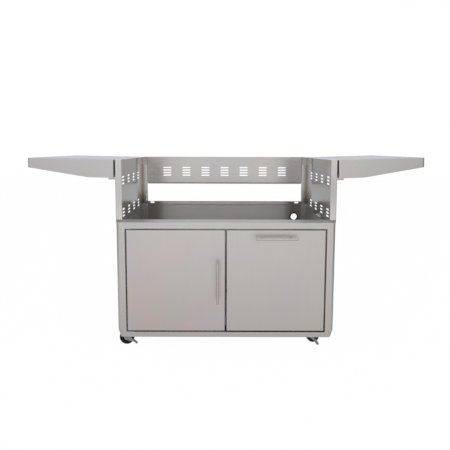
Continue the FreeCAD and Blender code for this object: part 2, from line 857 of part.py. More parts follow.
def shelf_brackets():
    """Wall brackets: an arm under the apron, a lug with the pin hole and a foot on the jacket's wall."""
    high = apron_low - bracket_apron_gap
    low = high - bracket_height
    lug_low = shelf_pivot_x - bracket_lug_radius
    lug_high = shelf_pivot_x + bracket_lug_radius
    solids = []
    for y, inward in zip(bracket_places(), (1, -1)):
        cheek = block(half_width, half_width + bracket_reach, y, y + bracket_thick, low, high)
        web = block(lug_low, lug_high, y, y + bracket_thick, low, shelf_pivot_z)
        lug = rod((shelf_pivot_x, y, shelf_pivot_z), (0, 1, 0), bracket_lug_radius, bracket_thick)
        foot_edge = y + inward * bracket_foot_width
        foot = block(half_width, half_width + bracket_thick, min(y, foot_edge),
                     max(y, foot_edge) + bracket_thick, low, high)
        start = (shelf_pivot_x, y, shelf_pivot_z)
        hole = shelf_pin_radius + pin_clearance
        bracket = joined(cheek, web, lug, foot)
        solids.append(drilled(bracket, hole, [start], (0, 1, 0), bracket_thick))
    return solids


def shelf_pivot_pins():
    """Pins that run from each bracket's cheek into the arm beside it, with a head on the inner side."""
    solids = []
    grip = bracket_thick + bracket_arm_gap + arm_thick - fit_gap
    front_bracket, rear_bracket = bracket_places()
    for y, outward in ((front_bracket + bracket_thick, -1), (rear_bracket, 1)):
        start = (shelf_pivot_x, y, shelf_pivot_z)
        shank = rod(start, (0, outward, 0), shelf_pin_radius, grip)
        head = rod(start, (0, -outward, 0), shelf_pin_head_radius, bracket_thick)
        solids.append(joined(shank, head))
    return solids


def shelf_stiffener(tilt):
    """U channel under the top sheet, from one apron to the other."""
    low_x = half_width + stiffener_from_wall
    high_x = low_x + stiffener_width
    top = cart_height - sheet
    points = [(low_x, top), (low_x, top - stiffener_height), (high_x, top - stiffener_height), (high_x, top)]
    start = shelf_front + shelf_bend_radius
    run = shelf_back - shelf_bend_radius - start
    return tilted(strip_face(points, sheet, sheet, at_depth(start)).extrude(Vector(0, run, 0)), tilt)


# Casters

def caster_places():
    """Name, centre across, centre front to back and turn of each caster."""
    x = half_width - caster_from_side
    y_front = front + caster_from_front
    y_rear = back - caster_from_back
    return [("front_left", -x, y_front, front_left_turn), ("front_right", x, y_front, front_right_turn),
            ("rear_left", -x, y_rear, rear_left_turn), ("rear_right", x, y_rear, rear_right_turn)]


def caster_bolt_places():
    """Centres of the bolts at the corners of every caster plate."""
    half_x = plate_length / 2 - bolt_inset
    half_y = plate_width / 2 - bolt_inset
    places = []
    for name, x, y, turn in caster_places():
        for side_x in (-half_x, half_x):
            for side_y in (-half_y, half_y):
                places.append((x + side_x, y + side_y))
    return places


def caster_plate(x, y):
    """Fixed plate with its bolt holes and the upper ball race under it."""
    low = caster_height - plate_thick
    plate = block(x - plate_length / 2, x + plate_length / 2, y - plate_width / 2, y + plate_width / 2,
                  low, caster_height)
    plate = joined(plate, rod((x, y, low), (0, 0, -1), race_radius, race_height))
    starts = [(bolt_x, bolt_y, caster_height) for bolt_x, bolt_y in caster_bolt_places()]
    plate = drilled(plate, bolt_radius + screw_clearance, starts, (0, 0, -1), plate_thick)
    return drilled(plate, kingpin_radius + pin_clearance, [(x, y, caster_height)], (0, 0, -1), caster_height)


def caster_kingpin(x, y):
    """Rivet that the fork swivels on, with its head under the crown."""
    head_top = crown_low - fit_gap
    shank = rod((x, y, head_top), (0, 0, 1), kingpin_radius, caster_height - head_top)
    return joined(shank, rod((x, y, head_top), (0, 0, -1), kingpin_head_radius, kingpin_head))


def hexagon(x, y, z, radius, height):
    """Hexagonal prism about an upright axis."""
    points = []
    for corner in range(6):
        angle = math.radians(60 * corner)
        points.append((x + radius * math.cos(angle), y + radius * math.sin(angle)))
    return outline_face(points, [0] * 6, at_height(z)).extrude(Vector(0, 0, height))


def caster_bolt(x, y):
    """Bolt through the pan and a caster plate, head above and nut below."""
    nut_low = caster_height - plate_thick - bolt_head
    head = hexagon(x, y, pan_top, bolt_head_radius, bolt_head)
    nut = hexagon(x, y, nut_low, bolt_head_radius, bolt_head)
    return joined(head, nut, rod((x, y, nut_low), (0, 0, 1), bolt_radius, pan_top - nut_low))


leg_inside = wheel_width / 2 + fork_wheel_gap
leg_outside = leg_inside + fork_sheet


def placed(shape, x, y, turn):
    """A caster piece turned about its swivel axis and moved to its place."""
    moved = shape.copy()
    moved.rotate(Vector(0, 0, 0), Vector(0, 0, 1), turn)
    moved.translate(Vector(x, y, 0))
    return moved


def caster_fork():
    """Crown and two legs that lean back to the axle. The trail runs along +X before placing."""
    crown = rod((0, 0, crown_low), (0, 0, 1), crown_radius, fork_sheet)
    heel = axle_radius + fork_heel_margin
    points = [(-fork_lead, crown_top), (fork_lead - fork_lead_cut, crown_top),
              (caster_trail + heel, wheel_radius + heel / 2), (caster_trail + heel, wheel_radius - heel),
              (caster_trail - heel, wheel_radius - heel),
              (-fork_lead, crown_low - fork_lead_drop)]
    toe = heel - sheet
    radii = [0, 0, heel / 2, toe, toe, heel / 2]
    legs = []
    for y in (-leg_outside, leg_inside):
        legs.append(outline_face(points, radii, at_depth(y)).extrude(Vector(0, fork_sheet, 0)))
    fork = joined(crown, *legs)
    fork = drilled(fork, kingpin_radius + pin_clearance, [(0, 0, crown_low)], (0, 0, 1), fork_sheet)
    start = (caster_trail, -leg_outside, wheel_radius)
    return drilled(fork, axle_radius + pin_clearance, [start], (0, 1, 0), 2 * leg_outside)


brake_arm_inside = leg_outside + fit_gap
brake_spacer = 2 * fit_gap + brake_arm_thick


def caster_axle(spacer):
    """Axle across the fork legs with a round nut at each end, one of them past the width of a spacer."""
    far_end = leg_outside + spacer
    shank = rod((caster_trail, -leg_outside, wheel_radius), (0, 1, 0), axle_radius, leg_outside + far_end)
    nuts = []
    for start, way in ((-leg_outside, -1), (far_end, 1)):
        nut = rod((caster_trail, start, wheel_radius), (0, way, 0), axle_nut_radius, axle_nut_thick)
        outer = start + way * axle_nut_thick
        rim = [edge for edge in nut.Edges if abs(edge.CenterOfMass.y - outer) < axle_nut_thick / 10]
        nuts.append(nut.makeFillet(axle_nut_thick / 3, rim))
    return joined(shank, *nuts)


def bar_corners(start, end, half_start, half_end):
    """Outline corners of a straight bar between two points, with a half width at each."""
    along = unit(start, end)
    corners = []
    for point, reach in ((start, half_start), (end, half_end), (end, -half_end), (start, -half_start)):
        corners.append((point[0] - along[1] * reach, point[1] + along[0] * reach))
    return corners


def caster_brake_pedal():
    """Lever on the axle, outside one leg: a bored boss, a tapered arm and a sloping tread for the foot."""
    axle = (caster_trail, wheel_radius)
    arm_end = (caster_trail - brake_arm_run, wheel_radius - brake_arm_drop)
    tread_start = (caster_trail - brake_tread_start_run, wheel_radius - brake_tread_start_drop)
    tread_end = (caster_trail - brake_tread_end_run, wheel_radius - brake_tread_end_drop)
    place = at_depth(brake_arm_inside)
    start = (caster_trail, brake_arm_inside, wheel_radius)
    boss = rod(start, (0, 1, 0), brake_boss_radius, brake_arm_thick)
    arm_corners = bar_corners(axle, arm_end, brake_boss_radius, brake_arm_end_half)
    edge = brake_edge_radius
    arm = outline_face(arm_corners, [0, edge, edge, 0], place).extrude(Vector(0, brake_arm_thick, 0))
    along = unit(tread_start, tread_end)
    tread_length = math.dist(tread_start, tread_end)
    under_x = tread_start[0] + along[1] * brake_tread_thick / 2
    under_z = tread_start[1] - along[0] * brake_tread_thick / 2
    thick = Vector(-along[1], 0, along[0]) * brake_tread_thick
    inside = brake_arm_inside
    outside = inside + brake_tread_width
    tread_corners = [(0, inside), (tread_length, inside), (tread_length, outside), (0, outside)]
    on_tread = lambda run, side: Vector(under_x + along[0] * run, side, under_z + along[1] * run)
    tip = brake_tip_radius
    tread = outline_face(tread_corners, [0, tip, tip, 0], on_tread).extrude(thick)
    lever = joined(boss, arm, tread)
    return drilled(lever, axle_radius + pin_clearance, [start], (0, 1, 0), brake_arm_thick)


def wheel_section(points, radii):
    """A ring about the wheel's axle from a section of radius and side."""
    centre = Vector(caster_trail, 0, wheel_radius)
    face = outline_face(points, radii, lambda r, y: Vector(caster_trail, y, wheel_radius + r))
    return face.revolve(centre, Vector(0, 1, 0), 360)


tyre_inside = wheel_radius - tyre_depth


def caster_tyre():
    """Rubber tread ring with rounded shoulders."""
    half = wheel_width / 2
    points = [(tyre_inside, -half), (wheel_radius, -half), (wheel_radius, half), (tyre_inside, half)]
    return wheel_section(points, [0, tyre_edge_radius, tyre_edge_radius, 0])


def caster_hub():
    """Wheel centre: rim, thin web and a bored boss."""
    half = wheel_width / 2
    outside = tyre_inside - pin_clearance
    rim = outside - hub_rim
    bore = axle_radius + pin_clearance
    web = hub_web / 2
    rim_half = half - hub_rim_inset
    points = [(bore, -half), (hub_boss_radius, -half), (hub_boss_radius, -web), (rim, -web), (rim, -rim_half),
              (outside, -rim_half), (outside, rim_half), (rim, rim_half), (rim, web),
              (hub_boss_radius, web), (hub_boss_radius, half), (bore, half)]
    soft = hub_edge_radius
    radii = [0, soft, soft, soft, soft, 0, 0, soft, soft, soft, soft, 0]
    return wheel_section(points, radii)


# Write every node

def save_cabinet():
    """Fixed pieces of the cabinet."""
    save("front_frame", front_frame())
    save("base_pan", base_pan())
    save("cabinet_side_right", cabinet_side())
    save("cabinet_side_left", mirrored(cabinet_side()))
    save("cabinet_back_panel", cabinet_back_panel())
    save("hose_grommet", hose_grommet())
    save("centre_divider", centre_divider())
    save("slide_mount_rail", slide_mount_rail())
    save("door_pivot_brackets", *door_pivot_brackets())
    save("door_magnet_catch", door_magnet_catch())


def save_jacket():
    """Open top of the cart and the screws that hold the panels."""
    save("upper_side_right", upper_side())
    save("upper_side_left", mirrored(upper_side()))
    save("upper_back_panel", upper_back_panel())
    save("jacket_corner_tabs", corner_tab(), mirrored(corner_tab()))
    save("panel_screws", *panel_screws())


def save_door():
    """Door with its pivots and handle."""
    save("door_skin", door_skin())
    save("door_liner", front_liner(door_left, door_right))
    save("door_pivot_blocks", *door_pivot_blocks())
    save("door_pivot_pins", *door_pivot_pins())
    save("door_strike_plate", door_strike_plate())
    bar, posts = bar_handle(door_right - handle_inset, (front_low + front_high) / 2, True)
    save("door_handle_bar", bar)
    save("door_handle_posts", *posts)


def save_tray():
    """Pull-out tray with its front, handle and slides."""
    save("tray_front_skin", front_skin(tray_left, tray_right))
    save("tray_front_liner", front_liner(tray_left, tray_right))
    bar, posts = bar_handle(tray_middle_x, front_high - handle_inset, False)
    save("tray_handle_bar", bar)
    save("tray_handle_posts", *posts)
    save("tank_tray", drawer_tray())
    save("tank_ring", tank_ring())
    outer, middle, inner = slide_members()
    save("slide_outer_members", *outer)
    save("slide_middle_members", *middle)
    save("slide_inner_members", *inner)


def save_shelves():
    """Both fold-down shelves and what carries them."""
    save("shelf_pan_right", shelf_pan(shelf_tilt_right))
    save("shelf_stiffener_right", shelf_stiffener(shelf_tilt_right))
    save("shelf_arms_right", *shelf_arms(shelf_tilt_right))
    save("shelf_pan_left", mirrored(shelf_pan(shelf_tilt_left)))
    save("shelf_stiffener_left", mirrored(shelf_stiffener(shelf_tilt_left)))
    save("shelf_arms_left", *[mirrored(arm) for arm in shelf_arms(shelf_tilt_left)])
    brackets = shelf_brackets()
    pins = shelf_pivot_pins()
    save("shelf_brackets", *(brackets + [mirrored(bracket) for bracket in brackets]))
    save("shelf_pivot_pins", *(pins + [mirrored(pin) for pin in pins]))


def save_casters():
    """Plates, kingpins and bolts as groups, and each caster's moving pieces."""
    places = caster_places()
    save("caster_plates", *[caster_plate(x, y) for name, x, y, turn in places])
    save("caster_kingpins", *[caster_kingpin(x, y) for name, x, y, turn in places])
    save("caster_bolts", *[caster_bolt(x, y) for x, y in caster_bolt_places()])
    for name, x, y, turn in places:
        braked = name.startswith("front")
        save("caster_fork_" + name, placed(caster_fork(), x, y, turn))
        save("caster_axle_" + name, placed(caster_axle(brake_spacer if braked else 0.0), x, y, turn))
        save("caster_tyre_" + name, placed(caster_tyre(), x, y, turn))
        save("caster_hub_" + name, placed(caster_hub(), x, y, turn))
        if braked:
            save("caster_brake_pedal_" + name, placed(caster_brake_pedal(), x, y, turn))


os.makedirs("parts", exist_ok=True)
save_cabinet()
save_jacket()
save_door()
save_tray()
save_shelves()
save_casters()
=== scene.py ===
"""Looks of a brushed stainless griddle cart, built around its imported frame.

Sizes are in metres unless their names say otherwise.
"""

import json
import logging
import math
from dataclasses import dataclass
from enum import Enum

import bpy
import numpy as np
from bpy.types import Material, Node, NodeSocket, NodeTree
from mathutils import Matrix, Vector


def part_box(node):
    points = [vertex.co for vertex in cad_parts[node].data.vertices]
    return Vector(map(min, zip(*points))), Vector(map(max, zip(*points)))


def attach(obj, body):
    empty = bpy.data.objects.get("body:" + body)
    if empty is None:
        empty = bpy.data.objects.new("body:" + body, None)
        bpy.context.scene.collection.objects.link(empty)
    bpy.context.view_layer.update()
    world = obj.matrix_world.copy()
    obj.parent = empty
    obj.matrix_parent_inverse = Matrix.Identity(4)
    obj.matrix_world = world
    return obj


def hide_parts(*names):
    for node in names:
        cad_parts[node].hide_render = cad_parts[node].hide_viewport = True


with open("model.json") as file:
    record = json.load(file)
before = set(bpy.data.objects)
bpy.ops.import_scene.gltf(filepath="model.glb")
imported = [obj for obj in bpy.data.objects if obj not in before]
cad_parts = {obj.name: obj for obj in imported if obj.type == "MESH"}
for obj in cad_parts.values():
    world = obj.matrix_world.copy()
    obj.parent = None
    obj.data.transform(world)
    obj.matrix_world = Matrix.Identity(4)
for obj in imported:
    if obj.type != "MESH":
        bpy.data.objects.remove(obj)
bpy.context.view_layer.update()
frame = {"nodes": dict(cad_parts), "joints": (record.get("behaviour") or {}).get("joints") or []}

LOG = logging.getLogger("griddle_cart")
JOINTS = {joint["name"]: joint for joint in frame["joints"]}
MILLIMETRE = 0.001
WHITE = "FFFFFF"

# Folds sharper than this stay sharp in a smooth mesh.
SHARP_EDGE_DEG = 40.0

# Points along a quarter-round edge and a half-round edge of a profile.
QUARTER_POINTS = 7
HALF_POINTS = 9

# A Mix node's colour sockets share their names with its number sockets, so they are given by index.
COLOUR_A = 6
COLOUR_B = 7
COLOUR_OUT = 2

# Length of one band of a wave texture whose scale is one.
WAVE_BAND = math.pi / 10

Point = tuple[float, float, float]
Stops = tuple[tuple[float, str], ...]


class Axis(Enum):
    """A direction of the cart's own frame."""

    ACROSS = 0
    DEPTH = 1
    UP = 2


class Layer(Enum):
    """A layer of noise in brushed sheet: a shift that keeps it apart from the others, and its octaves."""

    SCRATCH = (0.0, 3.0)
    STREAK = (3.0, 2.0)
    HUE = (7.0, 1.5)
    VEIL = (11.0, 1.0)


class Corner(Enum):
    """A corner of the cart that stands on a caster."""

    FRONT_LEFT = "front_left"
    FRONT_RIGHT = "front_right"
    REAR_LEFT = "rear_left"
    REAR_RIGHT = "rear_right"

    @property
    def braked(self) -> bool:
        """Tell whether this corner's caster has a brake lever."""
        return self in (Corner.FRONT_LEFT, Corner.FRONT_RIGHT)


def linear(colour: str) -> tuple[float, float, float, float]:
    """Turn an sRGB hex colour into linear light.

    Args:
        colour: Six hex digits, such as "C0BEBA".

    Returns:
        Red, green, blue and an alpha of one.
    """
    channels = [int(colour[index:index + 2], 16) / 255 for index in (0, 2, 4)]
    light = [c / 12.92 if c <= 0.04045 else ((c + 0.055) / 1.055) ** 2.4 for c in channels]
    return light[0], light[1], light[2], 1.0


def add_node(tree: NodeTree, kind: str, inputs: dict[str | int, object] | None = None,
             **settings: object) -> Node:
    """Add one shader node with its settings, constants and links.

    Args:
        tree: The node tree that gets the node.
        kind: Blender's name of the node's type, less its leading "ShaderNode".
        inputs: Socket name or index to a constant, or to the output that feeds it.
        settings: Attributes of the node itself.

    Returns:
        The new node.
    """
    node = tree.nodes.new("ShaderNode" + kind)
    for name, value in settings.items():
        setattr(node, name, value)
    for key, value in (inputs or {}).items():
        if isinstance(value, NodeSocket):
            tree.links.new(value, node.inputs[key])
        else:
            node.inputs[key].default_value = value
    return node


def product(tree: NodeTree, *colours: NodeSocket) -> NodeSocket:
    """Add a chain of nodes that multiplies colours or shares together.

    Args:
        tree: The node tree.
        colours: What is multiplied, in order.

    Returns:
        The product.
    """
    result = colours[0]
    for colour in colours[1:]:
        mixed = add_node(tree, "Mix", {"Factor": 1.0, COLOUR_A: result, COLOUR_B: colour},
                         data_type="RGBA", blend_type="MULTIPLY")
        result = mixed.outputs[COLOUR_OUT]
    return result


def start_material(name: str) -> tuple[Material, NodeTree, NodeSocket]:
    """Make an empty node material.

    Args:
        name: The finish's name.

    Returns:
        The material, its node tree and the output's surface socket.
    """
    material = bpy.data.materials.new(name)
    material.use_nodes = True
    tree = material.node_tree
    tree.nodes.clear()
    output = add_node(tree, "OutputMaterial")
    return material, tree, output.inputs["Surface"]


@dataclass(frozen=True)
class BrushedSheet:
    """Brushed 304 stainless sheet, drawn under an abrasive belt.

    The belt leaves long fine scratches that run one way, so lamps smear across the grain. The sheet's
    tone wanders a little from streak to streak, and its thin oxide gives soft rose, green and lilac clouds.
    Real scratches are about 0.05 mm wide and are drawn wider so that they show. A finish may also paint
    shade on faces that look to the cart's middle, keeping only a share of their brightness, and paint shade
    at the ends of rear sheets.
    """

    name: str
    grain: Axis
    tone: str = "CECCC9"
    rose: str = "D2CCC9"
    leaf: str = "CBCDC7"
    lilac: str = "CCCBD2"
    tone_share: float = 0.5
    roughness: float = 0.27
    roughness_wander: float = 0.03
    anisotropy: float = 0.55
    grain_tip: float = 0.01
    scratch_width_mm: float = 0.6
    scratch_length_mm: float = 70.0
    scratch_depth_mm: float = 0.012
    scratch_strength: float = 0.1
    streak_width_mm: float = 7.0
    streak_length_mm: float = 600.0
    streak_depth: float = 0.015
    streak_from: float = 0.3
    streak_to: float = 0.7
    hue_size_mm: float = 170.0
    hue_from: float = 0.38
    hue_to: float = 0.62
    veil_size_mm: float = 238.0
    veil_from: float = 0.45
    veil_to: float = 0.7
    wander_from: float = 0.7
    wander_to: float = 1.3
    # Painted shade: the share of brightness kept on faces that look to the cart's middle.
    painted_inner_shade_share: float = 1.0
    inward_from: float = -0.35
    inward_to: float = -0.2
    # Painted shade: its colour at the ends of rear sheets, over the spans below.
    painted_end_shade: str = WHITE
    end_from: float = 0.375
    end_to: float = 0.425
    rear_from: float = 0.1
    rear_to: float = 0.2

    def stretched(self, width_mm: float, length_mm: float) -> Point:
        """Mapping scale that makes noise as wide and as long as the given sizes along the grain.

        Args:
            width_mm: Size across the grain.
            length_mm: Size along the grain.

        Returns:
            Cycles per metre on each axis.
        """
        scale = [1 / (width_mm * MILLIMETRE)] * 3
        scale[self.grain.value] = 1 / (length_mm * MILLIMETRE)
        return scale[0], scale[1], scale[2]

    def noise(self, tree: NodeTree, layer: Layer, width_mm: float, length_mm: float) -> NodeSocket:
        """Add noise that is stretched along the grain.

        Args:
            tree: The material's tree.
            layer: Which noise it is.
            width_mm: Size across the grain.
            length_mm: Size along the grain.

        Returns:
            The noise, about 0.3 to 0.7.
        """
        shift, octaves = layer.value
        place = add_node(tree, "TexCoord").outputs["Object"]
        spread = add_node(tree, "Mapping", {
            "Vector": place, "Location": (shift, shift, shift),
            "Scale": self.stretched(width_mm, length_mm)})
        noise = add_node(tree, "TexNoise", {
            "Vector": spread.outputs["Vector"], "Scale": 1.0, "Detail": octaves})
        return noise.outputs["Fac"]

    def tangent(self, tree: NodeTree) -> NodeSocket:
        """Add the direction in the sheet's surface at right angles to the grain.

        It is the surface normal crossed with the grain, which is tipped slightly so that faces at the
        grain's ends have one.

        Args:
            tree: The material's tree.

        Returns:
            The direction in world space.
        """
        grain = [0.0, 0.0, 0.0]
        grain[self.grain.value] = 1.0
        aside = Axis.DEPTH if self.grain is Axis.ACROSS else Axis.ACROSS
        grain[aside.value] = self.grain_tip
        normal = add_node(tree, "TexCoord").outputs["Normal"]
        across = add_node(tree, "VectorMath", {0: normal, 1: grain}, operation="CROSS_PRODUCT")
        world = add_node(tree, "VectorTransform", {"Vector": across.outputs["Vector"]},
                         vector_type="VECTOR", convert_from="OBJECT", convert_to="WORLD")
        return world.outputs["Vector"]

    def painted_inner_shading(self, tree: NodeTree) -> NodeSocket:
        """Add painted shade: the brightness share of each face, which is less where it looks to the cart's
        middle.

        It follows the face's distance to the right of the middle times its normal's part to the right.

        Args:
            tree: The material's tree.

        Returns:
            The share.
        """
        place = add_node(tree, "TexCoord").outputs
        where = add_node(tree, "SeparateXYZ", {"Vector": place["Object"]}).outputs["X"]
        facing = add_node(tree, "SeparateXYZ", {"Vector": place["Normal"]}).outputs["X"]
        outward = add_node(tree, "Math", {0: where, 1: facing}, operation="MULTIPLY")
        share = add_node(tree, "MapRange", {
            "Value": outward.outputs[0], "From Min": self.inward_from, "From Max": self.inward_to,
            "To Min": self.painted_inner_shade_share})
        return share.outputs[0]

    def painted_end_shading(self, tree: NodeTree) -> NodeSocket:
        """Add painted shade at a rear sheet's ends, on faces that look forward.

        It sets in over a short distance along the cart's width, and over another along its depth.

        Args:
            tree: The material's tree.

        Returns:
            The painted shade's colour, white away from the ends.
        """
        place = add_node(tree, "TexCoord").outputs
        where = add_node(tree, "SeparateXYZ", {"Vector": place["Object"]}).outputs
        facing = add_node(tree, "SeparateXYZ", {"Vector": place["Normal"]}).outputs["Y"]
        apart = add_node(tree, "Math", {0: where["X"]}, operation="ABSOLUTE")
        share = add_node(tree, "MapRange", {
            "Value": apart.outputs[0], "From Min": self.end_from, "From Max": self.end_to})
        front = add_node(tree, "MapRange", {"Value": facing, "From Min": 0.0, "From Max": -1.0})
        rear = add_node(tree, "MapRange", {
            "Value": where["Y"], "From Min": self.rear_from, "From Max": self.rear_to})
        for other in (front, rear):
            share = add_node(tree, "Math", {0: share.outputs[0], 1: other.outputs[0]}, operation="MULTIPLY")
        tint = add_node(tree, "Mix", {
            "Factor": share.outputs[0], COLOUR_A: linear(WHITE), COLOUR_B: linear(self.painted_end_shade)},
            data_type="RGBA")
        return tint.outputs[COLOUR_OUT]

    def clouds(self, tree: NodeTree, veil: NodeSocket) -> NodeSocket:
        """Add the sheet's tone with its soft clouds of colour.

        Args:
            tree: The material's tree.
            veil: The noise that the lilac follows.

        Returns:
            The colour.
        """
        hue = self.noise(tree, Layer.HUE, self.hue_size_mm, self.hue_size_mm)
        warm = add_node(tree, "MapRange", {
            "Value": hue, "From Min": self.hue_from, "From Max": self.hue_to})
        cool = add_node(tree, "MapRange", {
            "Value": veil, "From Min": self.veil_from, "From Max": self.veil_to})
        tint = add_node(tree, "Mix", {
            "Factor": warm.outputs[0], COLOUR_A: linear(self.leaf), COLOUR_B: linear(self.rose)},
            data_type="RGBA")
        tint = add_node(tree, "Mix", {
            "Factor": cool.outputs[0], COLOUR_A: tint.outputs[COLOUR_OUT], COLOUR_B: linear(self.lilac)},
            data_type="RGBA")
        tint = add_node(tree, "Mix", {
            "Factor": self.tone_share, COLOUR_A: tint.outputs[COLOUR_OUT], COLOUR_B: linear(self.tone)},
            data_type="RGBA")
        return tint.outputs[COLOUR_OUT]

    def material(self) -> Material:
        """Build the node material.

        Returns:
            The finished material.
        """
        material, tree, surface = start_material(self.name)
        scratch = self.noise(tree, Layer.SCRATCH, self.scratch_width_mm, self.scratch_length_mm)
        streak = self.noise(tree, Layer.STREAK, self.streak_width_mm, self.streak_length_mm)
        veil = self.noise(tree, Layer.VEIL, self.veil_size_mm, self.veil_size_mm)
        shade = add_node(tree, "MapRange", {
            "Value": streak, "From Min": self.streak_from, "From Max": self.streak_to,
            "To Min": 1 - self.streak_depth})
        parts = [self.clouds(tree, veil), shade.outputs[0]]
        # Painted shade on faces that look to the cart's middle.
        if self.painted_inner_shade_share < 1.0:
            parts.append(self.painted_inner_shading(tree))
        # Painted shade at the ends of rear sheets.
        if self.painted_end_shade != WHITE:
            parts.append(self.painted_end_shading(tree))
        wander = add_node(tree, "Math", {0: scratch, 1: veil}, operation="ADD")
        rough = add_node(tree, "MapRange", {
            "Value": wander.outputs[0], "From Min": self.wander_from, "From Max": self.wander_to,
            "To Min": self.roughness - self.roughness_wander,
            "To Max": self.roughness + self.roughness_wander})
        bump = add_node(tree, "Bump", {
            "Height": scratch, "Strength": self.scratch_strength,
            "Distance": self.scratch_depth_mm * MILLIMETRE})
        shader = add_node(tree, "BsdfPrincipled", {
            "Base Color": product(tree, *parts), "Metallic": 1.0, "Roughness": rough.outputs[0],
            "Anisotropic": self.anisotropy, "Normal": bump.outputs["Normal"], "Tangent": self.tangent(tree)})
        tree.links.new(shader.outputs["BSDF"], surface)
        return material


@dataclass(frozen=True)
class SatinBar:
    """Satin turned stainless bar: rings from the lathe run round it, so it shines in a clean band along it.

    Real rings are a fraction of a millimetre apart and are drawn wider apart so that they show.
    """

    name: str = "satin_turned_stainless"
    light: str = "D0CECB"
    dark: str = "BCB9B6"
    roughness: float = 0.12
    smoother: float = 0.03
    rougher: float = 0.05
    ring_mm: float = 5.0265
    ring_depth_mm: float = 0.01
    ring_strength: float = 0.3
    ring_waver: float = 1.5
    ring_octaves: float = 2.0
    haze_per_metre: float = 35.0
    haze_octaves: float = 3.0

    def material(self) -> Material:
        """Build the node material, which reads rings from the piece's UV map, U in metres along the bar.

        Returns:
            The finished material.
        """
        material, tree, surface = start_material(self.name)
        along = add_node(tree, "UVMap", uv_map="along").outputs["UV"]
        ring = add_node(tree, "TexWave", {
            "Vector": along, "Scale": WAVE_BAND / (self.ring_mm * MILLIMETRE),
            "Distortion": self.ring_waver, "Detail": self.ring_octaves}, bands_direction="X").outputs["Fac"]
        place = add_node(tree, "TexCoord").outputs["Object"]
        haze = add_node(tree, "TexNoise", {
            "Vector": place, "Scale": self.haze_per_metre, "Detail": self.haze_octaves})
        colour = add_node(tree, "Mix", {
            "Factor": haze.outputs["Fac"], COLOUR_A: linear(self.light), COLOUR_B: linear(self.dark)},
            data_type="RGBA")
        rough = add_node(tree, "MapRange", {
            "Value": ring, "To Min": self.roughness - self.smoother,
            "To Max": self.roughness + self.rougher})
        bump = add_node(tree, "Bump", {
            "Height": ring, "Strength": self.ring_strength, "Distance": self.ring_depth_mm * MILLIMETRE})
        shader = add_node(tree, "BsdfPrincipled", {
            "Base Color": colour.outputs[COLOUR_OUT], "Metallic": 1.0, "Roughness": rough.outputs[0],
            "Normal": bump.outputs["Normal"]})
        tree.links.new(shader.outputs["BSDF"], surface)
        return material


@dataclass(frozen=True)
class ZincPlate:
    """Bright zinc plated steel: a cool grey with a faint crystal mottle left by the plating bath."""

    name: str = "zinc_plate"
    light: str = "C6CCD2"
    dark: str = "9FA7AF"
    roughness: float = 0.28
    smoother: float = 0.08
    rougher: float = 0.12
    crystal_mm: float = 2.5
    haze_mm: float = 16.0
    haze_share: float = 0.5
    haze_octaves: float = 3.0

    def material(self) -> Material:
        """Build the node material.

        Returns:
            The finished material.
        """
        material, tree, surface = start_material(self.name)
        place = add_node(tree, "TexCoord").outputs["Object"]
        crystal = add_node(tree, "TexVoronoi", {
            "Vector": place, "Scale": 1 / (self.crystal_mm * MILLIMETRE)})
        haze = add_node(tree, "TexNoise", {
            "Vector": place, "Scale": 1 / (self.haze_mm * MILLIMETRE),
            "Detail": self.haze_octaves}).outputs["Fac"]
        tone = add_node(tree, "Mix", {
            "Factor": self.haze_share, "A": crystal.outputs["Distance"], "B": haze})
        colour = add_node(tree, "Mix", {
            "Factor": tone.outputs[0], COLOUR_A: linear(self.light), COLOUR_B: linear(self.dark)},
            data_type="RGBA")
        rough = add_node(tree, "MapRange", {
            "Value": haze, "To Min": self.roughness - self.smoother,
            "To Max": self.roughness + self.rougher})
        shader = add_node(tree, "BsdfPrincipled", {
            "Base Color": colour.outputs[COLOUR_OUT], "Metallic": 1.0, "Roughness": rough.outputs[0]})
        tree.links.new(shader.outputs["BSDF"], surface)
        return material


@dataclass(frozen=True)
class Moulding:
    """Moulded rubber, nylon or plastic: a dull skin with the mould's fine grain and a little dust."""

    name: str
    body: str
    dust: str
    roughness: float
    ior: float
    grain_mm: float
    grain_depth_mm: float
    roughness_wander: float = 0.1
    grain_strength: float = 0.5
    grain_octaves: float = 4.0
    dust_mm: float = 22.0
    dust_octaves: float = 5.0
    dust_from: float = 0.45
    dust_to: float = 0.75

    def material(self) -> Material:
        """Build the node material.

        Returns:
            The finished material.
        """
        material, tree, surface = start_material(self.name)
        place = add_node(tree, "TexCoord").outputs["Object"]
        grain = add_node(tree, "TexNoise", {
            "Vector": place, "Scale": 1 / (self.grain_mm * MILLIMETRE),
            "Detail": self.grain_octaves}).outputs["Fac"]
        dust = add_node(tree, "TexNoise", {
            "Vector": place, "Scale": 1 / (self.dust_mm * MILLIMETRE),
            "Detail": self.dust_octaves}).outputs["Fac"]
        share = add_node(tree, "MapRange", {
            "Value": dust, "From Min": self.dust_from, "From Max": self.dust_to})
        colour = add_node(tree, "Mix", {
            "Factor": share.outputs[0], COLOUR_A: linear(self.body), COLOUR_B: linear(self.dust)},
            data_type="RGBA")
        rough = add_node(tree, "MapRange", {
            "Value": grain, "To Min": self.roughness - self.roughness_wander,
            "To Max": self.roughness + self.roughness_wander})
        bump = add_node(tree, "Bump", {
            "Height": grain, "Strength": self.grain_strength,
            "Distance": self.grain_depth_mm * MILLIMETRE})
        shader = add_node(tree, "BsdfPrincipled", {
            "Base Color": colour.outputs[COLOUR_OUT], "Roughness": rough.outputs[0], "IOR": self.ior,
            "Normal": bump.outputs["Normal"]})
        tree.links.new(shader.outputs["BSDF"], surface)
        return material


@dataclass
class Surface:
    """A mesh in the making: points, groups of faces with equal corners, and each point's place along it."""

    points: np.ndarray
    faces: list[np.ndarray]
    along: np.ndarray


